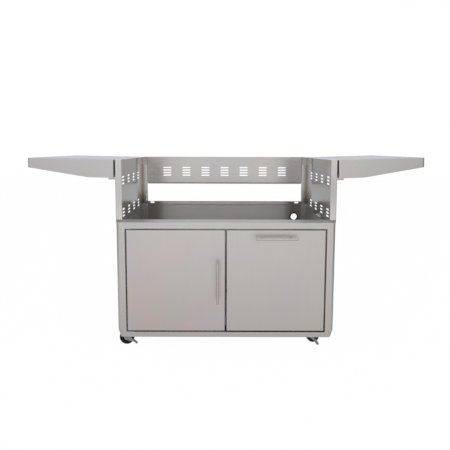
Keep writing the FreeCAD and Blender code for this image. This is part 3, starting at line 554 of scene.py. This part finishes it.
def grid_faces(rows: int, columns: int, wrap_rows: bool, wrap_columns: bool) -> np.ndarray:
    """Join a grid of points into quads that face the way of columns crossed with rows.

    Args:
        rows: Points down the grid.
        columns: Points across it.
        wrap_rows: Join the last row to the first.
        wrap_columns: Join the last column to the first.

    Returns:
        Point numbers, four to a face.
    """
    row, column = np.meshgrid(np.arange(rows if wrap_rows else rows - 1),
                              np.arange(columns if wrap_columns else columns - 1), indexing="ij")
    here = row * columns
    below = (row + 1) % rows * columns
    beside = (column + 1) % columns
    corners = (here + column, here + beside, below + beside, below + column)
    return np.stack([corner.ravel() for corner in corners], axis=1)


def square_frame(axis: np.ndarray) -> tuple[np.ndarray, np.ndarray, np.ndarray]:
    """Make a right-handed frame round an axis.

    Args:
        axis: Any direction.

    Returns:
        The unit axis and two directions square to it, the second being the axis crossed with the first.
    """
    along = np.asarray(axis, float) / np.linalg.norm(axis)
    helper = np.eye(3)[np.argmin(np.abs(along))]
    first = np.cross(helper, along)
    first /= np.linalg.norm(first)
    return along, first, np.cross(along, first)


def turned(profile: np.ndarray, centre: np.ndarray, axis: np.ndarray, segments: int, ring: bool) -> Surface:
    """Turn a profile about an axis, as on a lathe.

    A point at radius r and distance s along the axis goes round to the centre plus s times the axis plus
    r times (cosine t times the first square direction plus sine t times the second). A ring's profile is a
    closed loop. Any other profile starts and ends on the axis, where one point closes it.

    Args:
        profile: Rows of radius and distance along the axis.
        centre: The point that distances are measured from.
        axis: The axis's direction.
        segments: Steps round the axis.
        ring: Whether the profile is a closed loop.

    Returns:
        The closed surface.
    """
    along, first, second = square_frame(axis)
    middle = np.asarray(centre, float)
    body = profile if ring else profile[1:-1]
    angle = np.linspace(0.0, 2 * math.pi, segments, endpoint=False)
    spoke = np.cos(angle)[:, None] * first + np.sin(angle)[:, None] * second
    points = (middle + body[:, None, 1:] * along + body[:, None, :1] * spoke).reshape(-1, 3)
    place = np.repeat(body[:, 1], segments)
    faces = [grid_faces(len(body), segments, ring, True)]
    if not ring:
        poles = middle + profile[[0, -1], 1:] * along
        start, end = len(points), len(points) + 1
        near = np.arange(segments)
        far = near + (len(body) - 1) * segments
        faces.append(np.stack([np.roll(near, -1), near, np.full(segments, start)], axis=1))
        faces.append(np.stack([far, np.roll(far, -1), np.full(segments, end)], axis=1))
        points = np.vstack([points, poles])
        place = np.append(place, profile[[0, -1], 1])
    return Surface(points, faces, place)


def arc(centre: tuple[float, float], radius: float, start_deg: float, end_deg: float,
        count: int) -> np.ndarray:
    """Points of a circular arc in a profile.

    Args:
        centre: The arc's centre.
        radius: Its radius.
        start_deg: Where it starts, anticlockwise from the first direction.
        end_deg: Where it ends.
        count: How many points.

    Returns:
        Rows of the two profile values.
    """
    angle = np.radians(np.linspace(start_deg, end_deg, count))
    return np.stack([centre[0] + radius * np.cos(angle), centre[1] + radius * np.sin(angle)], axis=1)


def make_piece(name: str, surfaces: list[Surface], material: Material, body: str, slot: str,
               *replaced: str) -> None:
    """Put surfaces into one object that moves with a body of the cart.

    Args:
        name: The piece's name.
        surfaces: What it is made of.
        material: Its finish.
        body: The body that it rides on.
        slot: The record's material slot; not used.
        replaced: CAD nodes that it stands for.
    """
    starts = np.cumsum([0] + [len(surface.points) for surface in surfaces[:-1]])
    faces = []
    for start, surface in zip(starts, surfaces):
        for group in surface.faces:
            faces += (group + start).tolist()
    mesh = bpy.data.meshes.new(name)
    mesh.from_pydata(np.vstack([surface.points for surface in surfaces]).tolist(), [], faces)
    mesh.polygons.foreach_set("use_smooth", np.ones(len(mesh.polygons), dtype=bool))
    mesh.set_sharp_from_angle(angle=math.radians(SHARP_EDGE_DEG))
    corners = np.zeros(len(mesh.loops), dtype=np.int32)
    mesh.loops.foreach_get("vertex_index", corners)
    along = np.concatenate([surface.along for surface in surfaces])[corners]
    layer = mesh.uv_layers.new(name="along")
    layer.data.foreach_set("uv", np.stack([along, np.zeros_like(along)], axis=1).astype(np.float32).ravel())
    mesh.materials.append(material)
    piece = bpy.data.objects.new(name, mesh)
    bpy.context.scene.collection.objects.link(piece)
    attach(piece, body)
    if replaced:
        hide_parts(*replaced)
    LOG.info("%s rides on %s: %d faces", name, body, len(faces))


def dress(material: Material, *nodes: str) -> None:
    """Give CAD nodes a material on all their slots.

    Args:
        material: The finish.
        nodes: Names of the nodes.
    """
    for node in nodes:
        piece = frame["nodes"][node]
        if not piece.material_slots:
            piece.data.materials.append(material)
        for slot in piece.material_slots:
            slot.material = material
        LOG.info("%s wears %s", node, material.name)


@dataclass
class Finishes:
    """Every finish of the cart, made once."""

    upright: Material
    warm: Material
    across: Material
    deep: Material
    wall: Material
    dull: Material
    mill: Material
    bar: Material
    zinc: Material
    tyre: Material
    hub: Material
    grommet: Material
    catch: Material

    @classmethod
    def make(cls) -> "Finishes":
        """Build all finishes.

        Returns:
            The set.
        """
        return cls(
            upright=BrushedSheet("brushed_stainless_upright_grain", Axis.UP, tone="D5D2CF", rose="D9D1CE",
                                 leaf="D3D4CE", lilac="D3D2D7", roughness=0.4, anisotropy=0.25).material(),
            warm=BrushedSheet("warm_brushed_stainless_upright_grain", Axis.UP, tone="D7D1CF", rose="DECFCC",
                              leaf="D3D4CE", lilac="D4D1D8", roughness=0.4, anisotropy=0.25).material(),
            across=BrushedSheet("brushed_stainless_cross_grain", Axis.ACROSS, tone="C2C0BD", roughness=0.28,
                                anisotropy=0.4).material(),
            deep=BrushedSheet("brushed_stainless_depth_grain", Axis.DEPTH, tone="D3CFCC").material(),
            # Painted shade on the inner faces of the walls and at their rear ends.
            wall=BrushedSheet("fine_brushed_stainless_depth_grain", Axis.DEPTH, tone="D8D5D2",
                              rose="DAD5D2", leaf="D5D6D1", lilac="D5D5DA", roughness=0.15, anisotropy=0.8,
                              painted_inner_shade_share=0.78, painted_end_shade="B8ADA4", end_from=0.496, end_to=0.518).material(),
            # Painted shade at the ends of the back panel.
            dull=BrushedSheet("long_brushed_stainless_cross_grain", Axis.ACROSS, tone="DEDCD9",
                              roughness=0.48, anisotropy=0.99, painted_end_shade="CEC9C4").material(),
            mill=BrushedSheet("mill_finish_stainless", Axis.ACROSS, tone="E2E0DD", rose="E4E0DD",
                              leaf="E0E1DC", lilac="E0DFE4", roughness=0.36, anisotropy=0.25).material(),
            bar=SatinBar().material(),
            zinc=ZincPlate().material(),
            tyre=Moulding("moulded_tyre_rubber", body="050505", dust="0C0C0B", roughness=0.8, ior=1.5,
                          grain_mm=0.8, grain_depth_mm=0.05).material(),
            hub=Moulding("moulded_nylon", body="151516", dust="201F1F", roughness=0.45, ior=1.53,
                         grain_mm=0.5, grain_depth_mm=0.03).material(),
            grommet=Moulding("moulded_grommet_rubber", body="050505", dust="0B0B0B", roughness=0.75,
                             ior=1.5, grain_mm=0.6, grain_depth_mm=0.03).material(),
            catch=Moulding("moulded_catch_plastic", body="6B6B6B", dust="7A7A78", roughness=0.5, ior=1.49,
                           grain_mm=0.6, grain_depth_mm=0.03).material(),
        )


@dataclass
class Cabinet:
    """Lower cabinet of folded sheet with its hose grommet, screws and hem."""

    finishes: Finishes
    sheet: float = 0.0012
    grommet_bore: float = 0.020
    grommet_neck: float = 0.024
    grommet_segments: int = 72
    screw_head_radius: float = 0.0045
    screw_head_height: float = 0.0025
    screw_head_edge: float = 0.00075
    screw_shank_radius: float = 0.0025
    screw_shank_length: float = 0.0048
    screw_tip_radius: float = 0.0020
    screw_tip_length: float = 0.00048
    screw_segments: int = 48
    crown_outer_share: float = 0.94
    crown_inner_share: float = 0.06
    crown_points: int = 16
    crown_fall_share: float = 0.55
    recess_half_length: float = 0.0024
    recess_half_width: float = 0.0006
    recess_depth: float = 0.0014
    recess_above: float = 0.001
    back_screw_x: float = 0.493
    back_screw_low: float = 0.2246
    back_screw_step: float = 0.1056
    back_screw_rows: int = 4
    lap_screw_z: float = 0.6345
    lap_screw_count: int = 3
    hem_half_length: float = 0.400
    hem_height: float = 0.024
    hem_bulge: float = 0.0024
    hem_bite: float = 0.0003
    hem_points: int = 33

    def dress_sheets(self) -> None:
        """Give the cabinet's fixed sheets their finishes."""
        f = self.finishes
        dress(f.upright, "front_frame", "cabinet_side_left", "cabinet_side_right")
        dress(f.dull, "cabinet_back_panel")
        dress(f.mill, "base_pan", "centre_divider", "slide_mount_rail")

    def grommet(self) -> None:
        """Make the hose grommet: a closed section of two round lips and a neck, turned about the hole."""
        low, high = (np.array(corner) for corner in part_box("hose_grommet"))
        middle = (low + high) / 2
        panel_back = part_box("cabinet_back_panel")[1][1]
        outer = (high[0] - low[0]) / 2
        seat = panel_back - self.sheet
        bore = self.grommet_bore
        rear_round = (high[1] - panel_back) / 2
        front_round = (seat - low[1]) / 2
        section = np.vstack([
            [[self.grommet_neck, -self.sheet], [self.grommet_neck, 0.0]],
            arc((outer - rear_round, rear_round), rear_round, -90, 90, HALF_POINTS),
            arc((bore + rear_round, rear_round), rear_round, 90, 180, QUARTER_POINTS),
            arc((bore + front_round, -self.sheet - front_round), front_round, 180, 270, QUARTER_POINTS),
            arc((outer - front_round, -self.sheet - front_round), front_round, -90, 90, HALF_POINTS),
        ])
        centre = np.array([middle[0], panel_back, middle[2]])
        ring = turned(section, centre, (0, 1, 0), self.grommet_segments, True)
        make_piece("hose_grommet_ring", [ring], self.finishes.grommet, "cart", "grommet_rubber",
                   "hose_grommet")

    def screw(self, start: Point, outward: Point) -> Surface:
        """Make one pan-head screw with a cross recess.

        The head is a dome over a polar grid, with height falling as the square of the radius. The recess
        pushes down the points that lie within either arm of the cross.

        Args:
            start: Where the head's underside meets the sheet.
            outward: The way that the head faces.

        Returns:
            The closed surface.
        """
        head, height = self.screw_head_radius, self.screw_head_height
        shank, length = self.screw_shank_radius, self.screw_shank_length
        stem = np.array([[0.0, -length], [self.screw_tip_radius, -length],
                         [shank, self.screw_tip_length - length], [shank, 0.0],
                         [head, 0.0], [head, self.screw_head_edge]])
        crown = np.linspace(self.crown_outer_share, self.crown_inner_share, self.crown_points)
        dome = np.stack([head * crown, height * (1 - self.crown_fall_share * crown ** 2)], axis=1)
        profile = np.vstack([stem, dome, [[0.0, height]]])
        screw = turned(profile, np.array(start), np.array(outward), self.screw_segments, False)
        along, first, second = square_frame(np.array(outward))
        offset = screw.points - np.array(start)
        arms = np.sort(np.abs(np.stack([offset @ first, offset @ second], axis=1)), axis=1)
        inside = (arms[:, 0] < self.recess_half_width) & (arms[:, 1] < self.recess_half_length)
        sunk = inside & (offset @ along > self.recess_above)
        screw.points = screw.points - np.where(sunk, self.recess_depth, 0.0)[:, None] * along
        return screw

    def screws(self) -> None:
        """Set the screws of the back panel and of the lap between the jacket and the cabinet."""
        panel_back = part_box("cabinet_back_panel")[1][1]
        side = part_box("cabinet_side_right")[1][0]
        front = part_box("upper_side_right")[0][1]
        step = (panel_back - front) / (self.lap_screw_count + 1)
        screws = []
        for way in (-1, 1):
            for row in range(self.back_screw_rows):
                height = self.back_screw_low + row * self.back_screw_step
                screws.append(self.screw((way * self.back_screw_x, panel_back, height), (0, 1, 0)))
            for place in range(1, self.lap_screw_count + 1):
                screws.append(self.screw((way * side, front + place * step, self.lap_screw_z), (way, 0, 0)))
        make_piece("cross_recess_screws", screws, self.finishes.zinc, "cart", "zinc_plate", "panel_screws")

    def hem_roll(self) -> None:
        """Roll the back panel's top hem into a shallow bead.

        Its section bulges as the sine of half a turn times the square of the share of the way down, so it
        curls under near its lower edge. The same section stands at both ends of the run.
        """
        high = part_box("cabinet_back_panel")[1]
        down = np.linspace(0.0, 1.0, self.hem_points)
        front = high[1] - 2 * self.sheet + self.hem_bite
        y = front - (self.hem_bulge + self.hem_bite) * np.sin(math.pi * down ** 2)
        z = high[2] - self.hem_height * down
        run = np.array([-1.0, 1.0]) * self.hem_half_length
        points = np.stack([np.repeat(run, len(down)), np.tile(y, 2), np.tile(z, 2)], axis=1)
        ends = np.arange(2 * len(down)).reshape(2, -1)
        faces = [grid_faces(2, len(down), False, True), ends[:1, ::-1], ends[1:]]
        bead = Surface(points, faces, points[:, 0])
        make_piece("back_hem_bead", [bead], self.finishes.dull, "cart", "brushed_stainless")

    def build(self) -> None:
        """Dress the cabinet and add its small pieces."""
        self.dress_sheets()
        self.grommet()
        self.screws()
        self.hem_roll()


@dataclass
class Jacket:
    """Open vented upper part of the cart, above the cabinet."""

    finishes: Finishes

    def build(self) -> None:
        """Give the jacket's sheets their finishes."""
        dress(self.finishes.wall, "upper_side_left", "upper_side_right")
        dress(self.finishes.across, "upper_back_panel", "jacket_corner_tabs")


@dataclass
class BarHandle:
    """Round bar handle on two posts, with rounded edges at both ends."""

    finishes: Finishes
    bar_node: str
    posts_node: str
    body: str
    end_round: float = 0.0025
    length_points: int = 18
    segments: int = 48

    def build(self) -> None:
        """Turn the bar from a profile with quarter-round ends, and dress the posts."""
        low, high = (np.array(corner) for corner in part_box(self.bar_node))
        way = int(np.argmax(high - low))
        half = (high - low)[way] / 2
        radius = np.delete(high - low, way).min() / 2
        edge = self.end_round
        straight = np.linspace(-half + 2 * edge, half - 2 * edge, self.length_points)
        profile = np.vstack([
            [[0.0, -half]],
            arc((radius - edge, -half + edge), edge, -90, 0, QUARTER_POINTS),
            np.stack([np.full(self.length_points, radius), straight], axis=1),
            arc((radius - edge, half - edge), edge, 0, 90, QUARTER_POINTS),
            [[0.0, half]],
        ])
        grip = turned(profile, (low + high) / 2, np.eye(3)[way], self.segments, False)
        make_piece(self.body + "_grip", [grip], self.finishes.bar, self.body, "handle_stainless",
                   self.bar_node)
        dress(self.finishes.upright, self.posts_node)


@dataclass
class Fronts:
    """Hinged door and the pull-out tray with its front, slides and tank ring."""

    finishes: Finishes

    def build(self) -> None:
        """Dress the door and the tray and make their handles."""
        f = self.finishes
        dress(f.warm, "door_skin")
        dress(f.upright, "tray_front_skin")
        dress(f.mill, "door_liner", "tray_front_liner", "tank_tray", "tank_ring")
        dress(f.zinc, "slide_outer_members", "slide_middle_members", "slide_inner_members",
              "door_pivot_brackets", "door_pivot_blocks", "door_pivot_pins", "door_strike_plate")
        dress(f.catch, "door_magnet_catch")
        BarHandle(f, "door_handle_bar", "door_handle_posts", "door").build()
        BarHandle(f, "tray_handle_bar", "tray_handle_posts", "tray").build()


@dataclass
class Shelves:
    """Two fold-down side shelves and their brackets."""

    finishes: Finishes
    sides: tuple[str, ...] = ("left", "right")

    def build(self) -> None:
        """Give the shelves' sheets their finishes."""
        f = self.finishes
        for side in self.sides:
            dress(f.deep, "shelf_pan_" + side)
            dress(f.mill, "shelf_stiffener_" + side, "shelf_arms_" + side)
        dress(f.across, "shelf_brackets")
        dress(f.zinc, "shelf_pivot_pins")


@dataclass
class Caster:
    """One swivel caster with a ribbed rubber tyre, a dust ring and, at the front, a brake lever."""

    finishes: Finishes
    corner: Corner
    tyre_width: float = 0.025
    tyre_depth: float = 0.0105
    tyre_segments: int = 96
    tread_points: int = 65
    crown_drop: float = 0.0009
    shoulder: float = 0.0045
    shoulder_from_deg: float = 12.0
    groove_depth: float = 0.0006
    groove_pitch: float = 0.005
    groove_width: float = 0.0011
    dust_ring_radius: float = 0.0237
    dust_ring_half: float = 0.0010
    dust_ring_height: float = 0.0028
    dust_ring_points: int = 11
    dust_ring_segments: int = 64

    def tyre(self) -> None:
        """Turn the tyre from a crowned tread with narrow grooves, round shoulders and flat sides.

        Tread radius falls from the middle as the square of the distance, less a groove wherever the
        distance lies near a whole number of pitches.
        """
        name = self.corner.value
        axis = JOINTS["wheel_spin_" + name]["axis"]
        low, high = (np.array(corner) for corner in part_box("caster_tyre_" + name))
        radius = (high[2] - low[2]) / 2
        half = self.tyre_width / 2
        inside = radius - self.tyre_depth
        turn = self.shoulder
        flat = half - turn
        across = np.linspace(-flat, flat, self.tread_points)
        pitches = across / self.groove_pitch
        near = np.abs(pitches - np.round(pitches)) * self.groove_pitch
        groove = np.clip(1 - (2 * near / self.groove_width) ** 2, 0.0, 1.0) * self.groove_depth
        crown = radius - self.crown_drop * (across / flat) ** 2
        shoulder_centre = radius - self.crown_drop - turn
        section = np.vstack([
            [[inside, -half]],
            arc((shoulder_centre, -flat), turn, -90, -self.shoulder_from_deg, QUARTER_POINTS),
            np.stack([crown - groove, across], axis=1),
            arc((shoulder_centre, flat), turn, self.shoulder_from_deg, 90, QUARTER_POINTS),
            [[inside, half]],
        ])
        tyre = turned(section, (low + high) / 2, axis, self.tyre_segments, True)
        make_piece("ribbed_tyre_" + name, [tyre], self.finishes.tyre, "wheel_" + name, "tyre_rubber",
                   "caster_tyre_" + name)

    def dust_ring(self) -> None:
        """Turn the rubber ring that keeps dirt out of the swivel, with a round top, on the fork's crown."""
        name = self.corner.value
        pivot = JOINTS["swivel_" + name]["pos_m"]
        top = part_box("caster_fork_" + name)[1][2]
        middle, half, height = self.dust_ring_radius, self.dust_ring_half, self.dust_ring_height
        section = np.vstack([
            [[middle - half, 0.0], [middle + half, 0.0]],
            arc((middle, height - half), half, 0, 180, self.dust_ring_points),
        ])
        centre = np.array([pivot[0], pivot[1], top])
        ring = turned(section, centre, (0, 0, 1), self.dust_ring_segments, True)
        make_piece("swivel_dust_ring_" + name, [ring], self.finishes.grommet, "caster_" + name,
                   "grommet_rubber")

    def build(self) -> None:
        """Dress the fork, axle, hub and lever, and make the tyre and the dust ring."""
        name = self.corner.value
        dress(self.finishes.zinc, "caster_fork_" + name, "caster_axle_" + name)
        dress(self.finishes.hub, "caster_hub_" + name)
        self.tyre()
        self.dust_ring()
        if self.corner.braked:
            dress(self.finishes.zinc, "caster_brake_pedal_" + name)


@dataclass(frozen=True)
class ColourRun:
    """A run of colours over a value: its start, its end and the sRGB colours at shares of the way."""

    start: float
    end: float
    stops: Stops

    def colour(self, tree: NodeTree, value: NodeSocket) -> NodeSocket:
        """Add the colour that goes with a value.

        Args:
            tree: The node tree.
            value: What the colours follow.

        Returns:
            The colour.
        """
        way = add_node(tree, "MapRange", {"Value": value, "From Min": self.start, "From Max": self.end})
        ramp = add_node(tree, "ValToRGB", {"Fac": way.outputs[0]})
        elements = ramp.color_ramp.elements
        while len(elements) < len(self.stops):
            # Each new stop starts midway and is moved to its place below.
            elements.new(0.5)
        for element, (share, colour) in zip(elements, self.stops):
            element.position = share
            element.color = linear(colour)
        return ramp.outputs["Color"]


@dataclass(frozen=True)
class Lamp:
    """One square soft lamp that mirrored rays do not see."""

    name: str
    place: Point
    size: float
    watts: float
    aim: Point = (0.0, 0.0, 0.5)

    def hang(self) -> None:
        """Hang the lamp at its place and turn it to its aim."""
        data = bpy.data.lights.new(self.name, "AREA")
        data.size = self.size
        data.energy = self.watts
        lamp = bpy.data.objects.new(self.name, data)
        way = np.array(self.aim) - np.array(self.place)
        flat = math.hypot(way[0], way[1])
        lamp.rotation_euler = (math.atan2(flat, -way[2]), 0.0, math.atan2(-way[0], way[1]))
        lamp.location = self.place
        lamp.visible_glossy = False
        bpy.context.scene.collection.objects.link(lamp)


@dataclass
class Studio:
    """Pale floor, soft light and the camera at the photograph's angle.

    The floor's share is how much of it glows where it is seen, and the rest takes the shadow. The floor's
    runs of colour are painted shade that the steel mirrors, and the surround's runs of colour light the cart
    and are mirrored too.
    """

    floor_half: float = 12.0
    floor_drop: float = 0.0005
    floor_share: float = 0.985
    floor_paint: str = "F2F2F2"
    # Painted shade that the floor shows in mirrored rays, along its depth, across it and along a slant.
    floor_depth: ColourRun = ColourRun(-3.2, 3.0, (
        (0.0, "FBFBFB"), (0.164, "F4F3F2"), (0.28, "EAE7E5"), (0.374, "DFDAD8"),
        (0.44, "D8D2CF"), (0.5, "AAA8A8"), (0.62, "AAAAAA"), (0.95, "C8C8C8")))
    floor_across: ColourRun = ColourRun(-2.4, 2.4, (
        (0.0, "C8C8C8"), (0.17, "FAFAFA"), (0.83, "FAFAFA"), (1.0, "C0C0C0")))
    floor_slant: ColourRun = ColourRun(0.2, 3.0, (
        (0.0, WHITE), (0.17, "DADADA"), (0.6, "C8C8C8"), (0.85, WHITE)))
    surround_across: ColourRun = ColourRun(-1.0, 1.0, (
        (0.0, "CCCCCC"), (0.18, "DDDDDD"), (0.3, WHITE), (0.7, WHITE), (0.82, "C0C0C0"), (1.0, "A4A4A4")))
    surround_depth: ColourRun = ColourRun(-1.0, 1.0, (
        (0.0, "FBFAF9"), (0.4, "F6F5F4"), (0.6, "DCDCDE"), (1.0, "E4E4E8")))
    surround_height: ColourRun = ColourRun(0.0, 1.0, (
        (0.0, "FCFCFF"), (0.15, "F8F9FF"), (0.4, "FAFAFC"), (1.0, "F6F6F6")))
    lamps: tuple[Lamp, ...] = (Lamp("key", place=(-1.6, -2.6, 3.2), size=2.4, watts=45.0),
                               Lamp("fill", place=(2.2, -2.0, 2.4), size=2.0, watts=20.0))
    camera_x: float = -0.0305
    camera_ahead: float = 1.6940
    camera_height: float = 0.9955
    camera_pitch_deg: float = 4.70
    camera_roll_deg: float = -0.14
    focal_px: float = 363.5
    centre_column_px: float = 219.75
    centre_row_px: float = 178.5
    frame_px: float = 450.0
    sensor_mm: float = 36.0

    def floor(self) -> None:
        """Lay a pale floor that keeps a soft shadow.

        It is a flat square, with height constant over a grid of two parameters. In mirrored rays it glows
        with painted shade, as a floor lit from ahead would show: it dulls towards the cart, out to both
        sides and in a slanting band at the right rear.
        """
        mesh = bpy.data.meshes.new("floor")
        side = np.array([-1.0, 1.0]) * self.floor_half
        x, y = np.meshgrid(side, side)
        points = np.stack([x.ravel(), y.ravel(), np.full(x.size, -self.floor_drop)], axis=1)
        mesh.from_pydata(points.tolist(), [], [(0, 1, 3, 2)])
        floor = bpy.data.objects.new("floor", mesh)
        bpy.context.scene.collection.objects.link(floor)
        material, tree, surface = start_material("pale_floor")
        path = add_node(tree, "LightPath").outputs
        place = add_node(tree, "TexCoord").outputs["Object"]
        place = add_node(tree, "SeparateXYZ", {"Vector": place}).outputs
        slant = add_node(tree, "Math", {0: place["X"], 1: place["Y"]}, operation="ADD")
        # Painted shade in mirrored rays: darker near the cart, at both sides and in a band at the right
        # rear.
        mirrored_painted_shade = product(tree, self.floor_depth.colour(tree, place["Y"]),
                           self.floor_across.colour(tree, place["X"]),
                           self.floor_slant.colour(tree, slant.outputs[0]))
        colour = add_node(tree, "Mix", {
            "Factor": path["Is Glossy Ray"], COLOUR_A: linear(WHITE), COLOUR_B: mirrored_painted_shade},
            data_type="RGBA")
        seen = add_node(tree, "Math", {0: path["Is Camera Ray"], 1: path["Is Transmission Ray"]},
                        operation="MAXIMUM")
        seen = add_node(tree, "Math", {0: seen.outputs[0], 1: path["Is Glossy Ray"]}, operation="MAXIMUM")
        share = add_node(tree, "Math", {0: seen.outputs[0], 1: self.floor_share}, operation="MULTIPLY")
        paint = add_node(tree, "BsdfDiffuse", {"Color": linear(self.floor_paint)})
        glow = add_node(tree, "Emission", {"Color": colour.outputs[COLOUR_OUT], "Strength": 1.0})
        mixed = add_node(tree, "MixShader", {
            "Fac": share.outputs[0], 1: paint.outputs["BSDF"], 2: glow.outputs["Emission"]})
        tree.links.new(mixed.outputs["Shader"], surface)
        mesh.materials.append(material)

    def world(self) -> None:
        """Light the cart from a plain surround, dimmer at both sides and behind, and cooler overhead."""
        world = bpy.data.worlds.new("studio")
        bpy.context.scene.world = world
        world.use_nodes = True
        tree = world.node_tree
        tree.nodes.clear()
        output = add_node(tree, "OutputWorld")
        path = add_node(tree, "LightPath").outputs
        way = add_node(tree, "TexCoord").outputs["Generated"]
        way = add_node(tree, "SeparateXYZ", {"Vector": way}).outputs
        colour = product(tree, self.surround_across.colour(tree, way["X"]),
                         self.surround_depth.colour(tree, way["Y"]),
                         self.surround_height.colour(tree, way["Z"]))
        white = add_node(tree, "Background", {"Color": linear(WHITE), "Strength": 1.0})
        soft = add_node(tree, "Background", {"Color": colour, "Strength": 1.0})
        mixed = add_node(tree, "MixShader", {
            "Fac": path["Is Camera Ray"], 1: soft.outputs["Background"], 2: white.outputs["Background"]})
        tree.links.new(mixed.outputs["Shader"], output.inputs["Surface"])

    def camera(self) -> None:
        """Set the camera where the photograph was taken from."""
        data = bpy.data.cameras.new("camera")
        data.sensor_width = self.sensor_mm
        data.lens = self.focal_px * self.sensor_mm / self.frame_px
        data.shift_x = (self.frame_px / 2 - self.centre_column_px) / self.frame_px
        data.shift_y = (self.centre_row_px - self.frame_px / 2) / self.frame_px
        camera = bpy.data.objects.new("camera", data)
        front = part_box("door_skin")[0][1]
        pitch = math.radians(90 - self.camera_pitch_deg)
        camera.location = (self.camera_x, front - self.camera_ahead, self.camera_height)
        camera.rotation_euler = (pitch, math.radians(self.camera_roll_deg), 0.0)
        bpy.context.scene.collection.objects.link(camera)
        bpy.context.scene.camera = camera

    def build(self) -> None:
        """Set up the whole studio."""
        bpy.context.scene.view_settings.view_transform = "Standard"
        self.floor()
        self.world()
        for lamp in self.lamps:
            lamp.hang()
        self.camera()


def main() -> None:
    """Build the sub-assemblies in order and report each piece."""
    logging.basicConfig(level=logging.INFO, format="%(message)s")
    finishes = Finishes.make()
    Cabinet(finishes).build()
    Jacket(finishes).build()
    Fronts(finishes).build()
    Shelves(finishes).build()
    dress(finishes.zinc, "caster_plates", "caster_kingpins", "caster_bolts")
    for corner in Corner:
        Caster(finishes, corner).build()
    Studio().build()


if __name__ == "__main__":
    main()
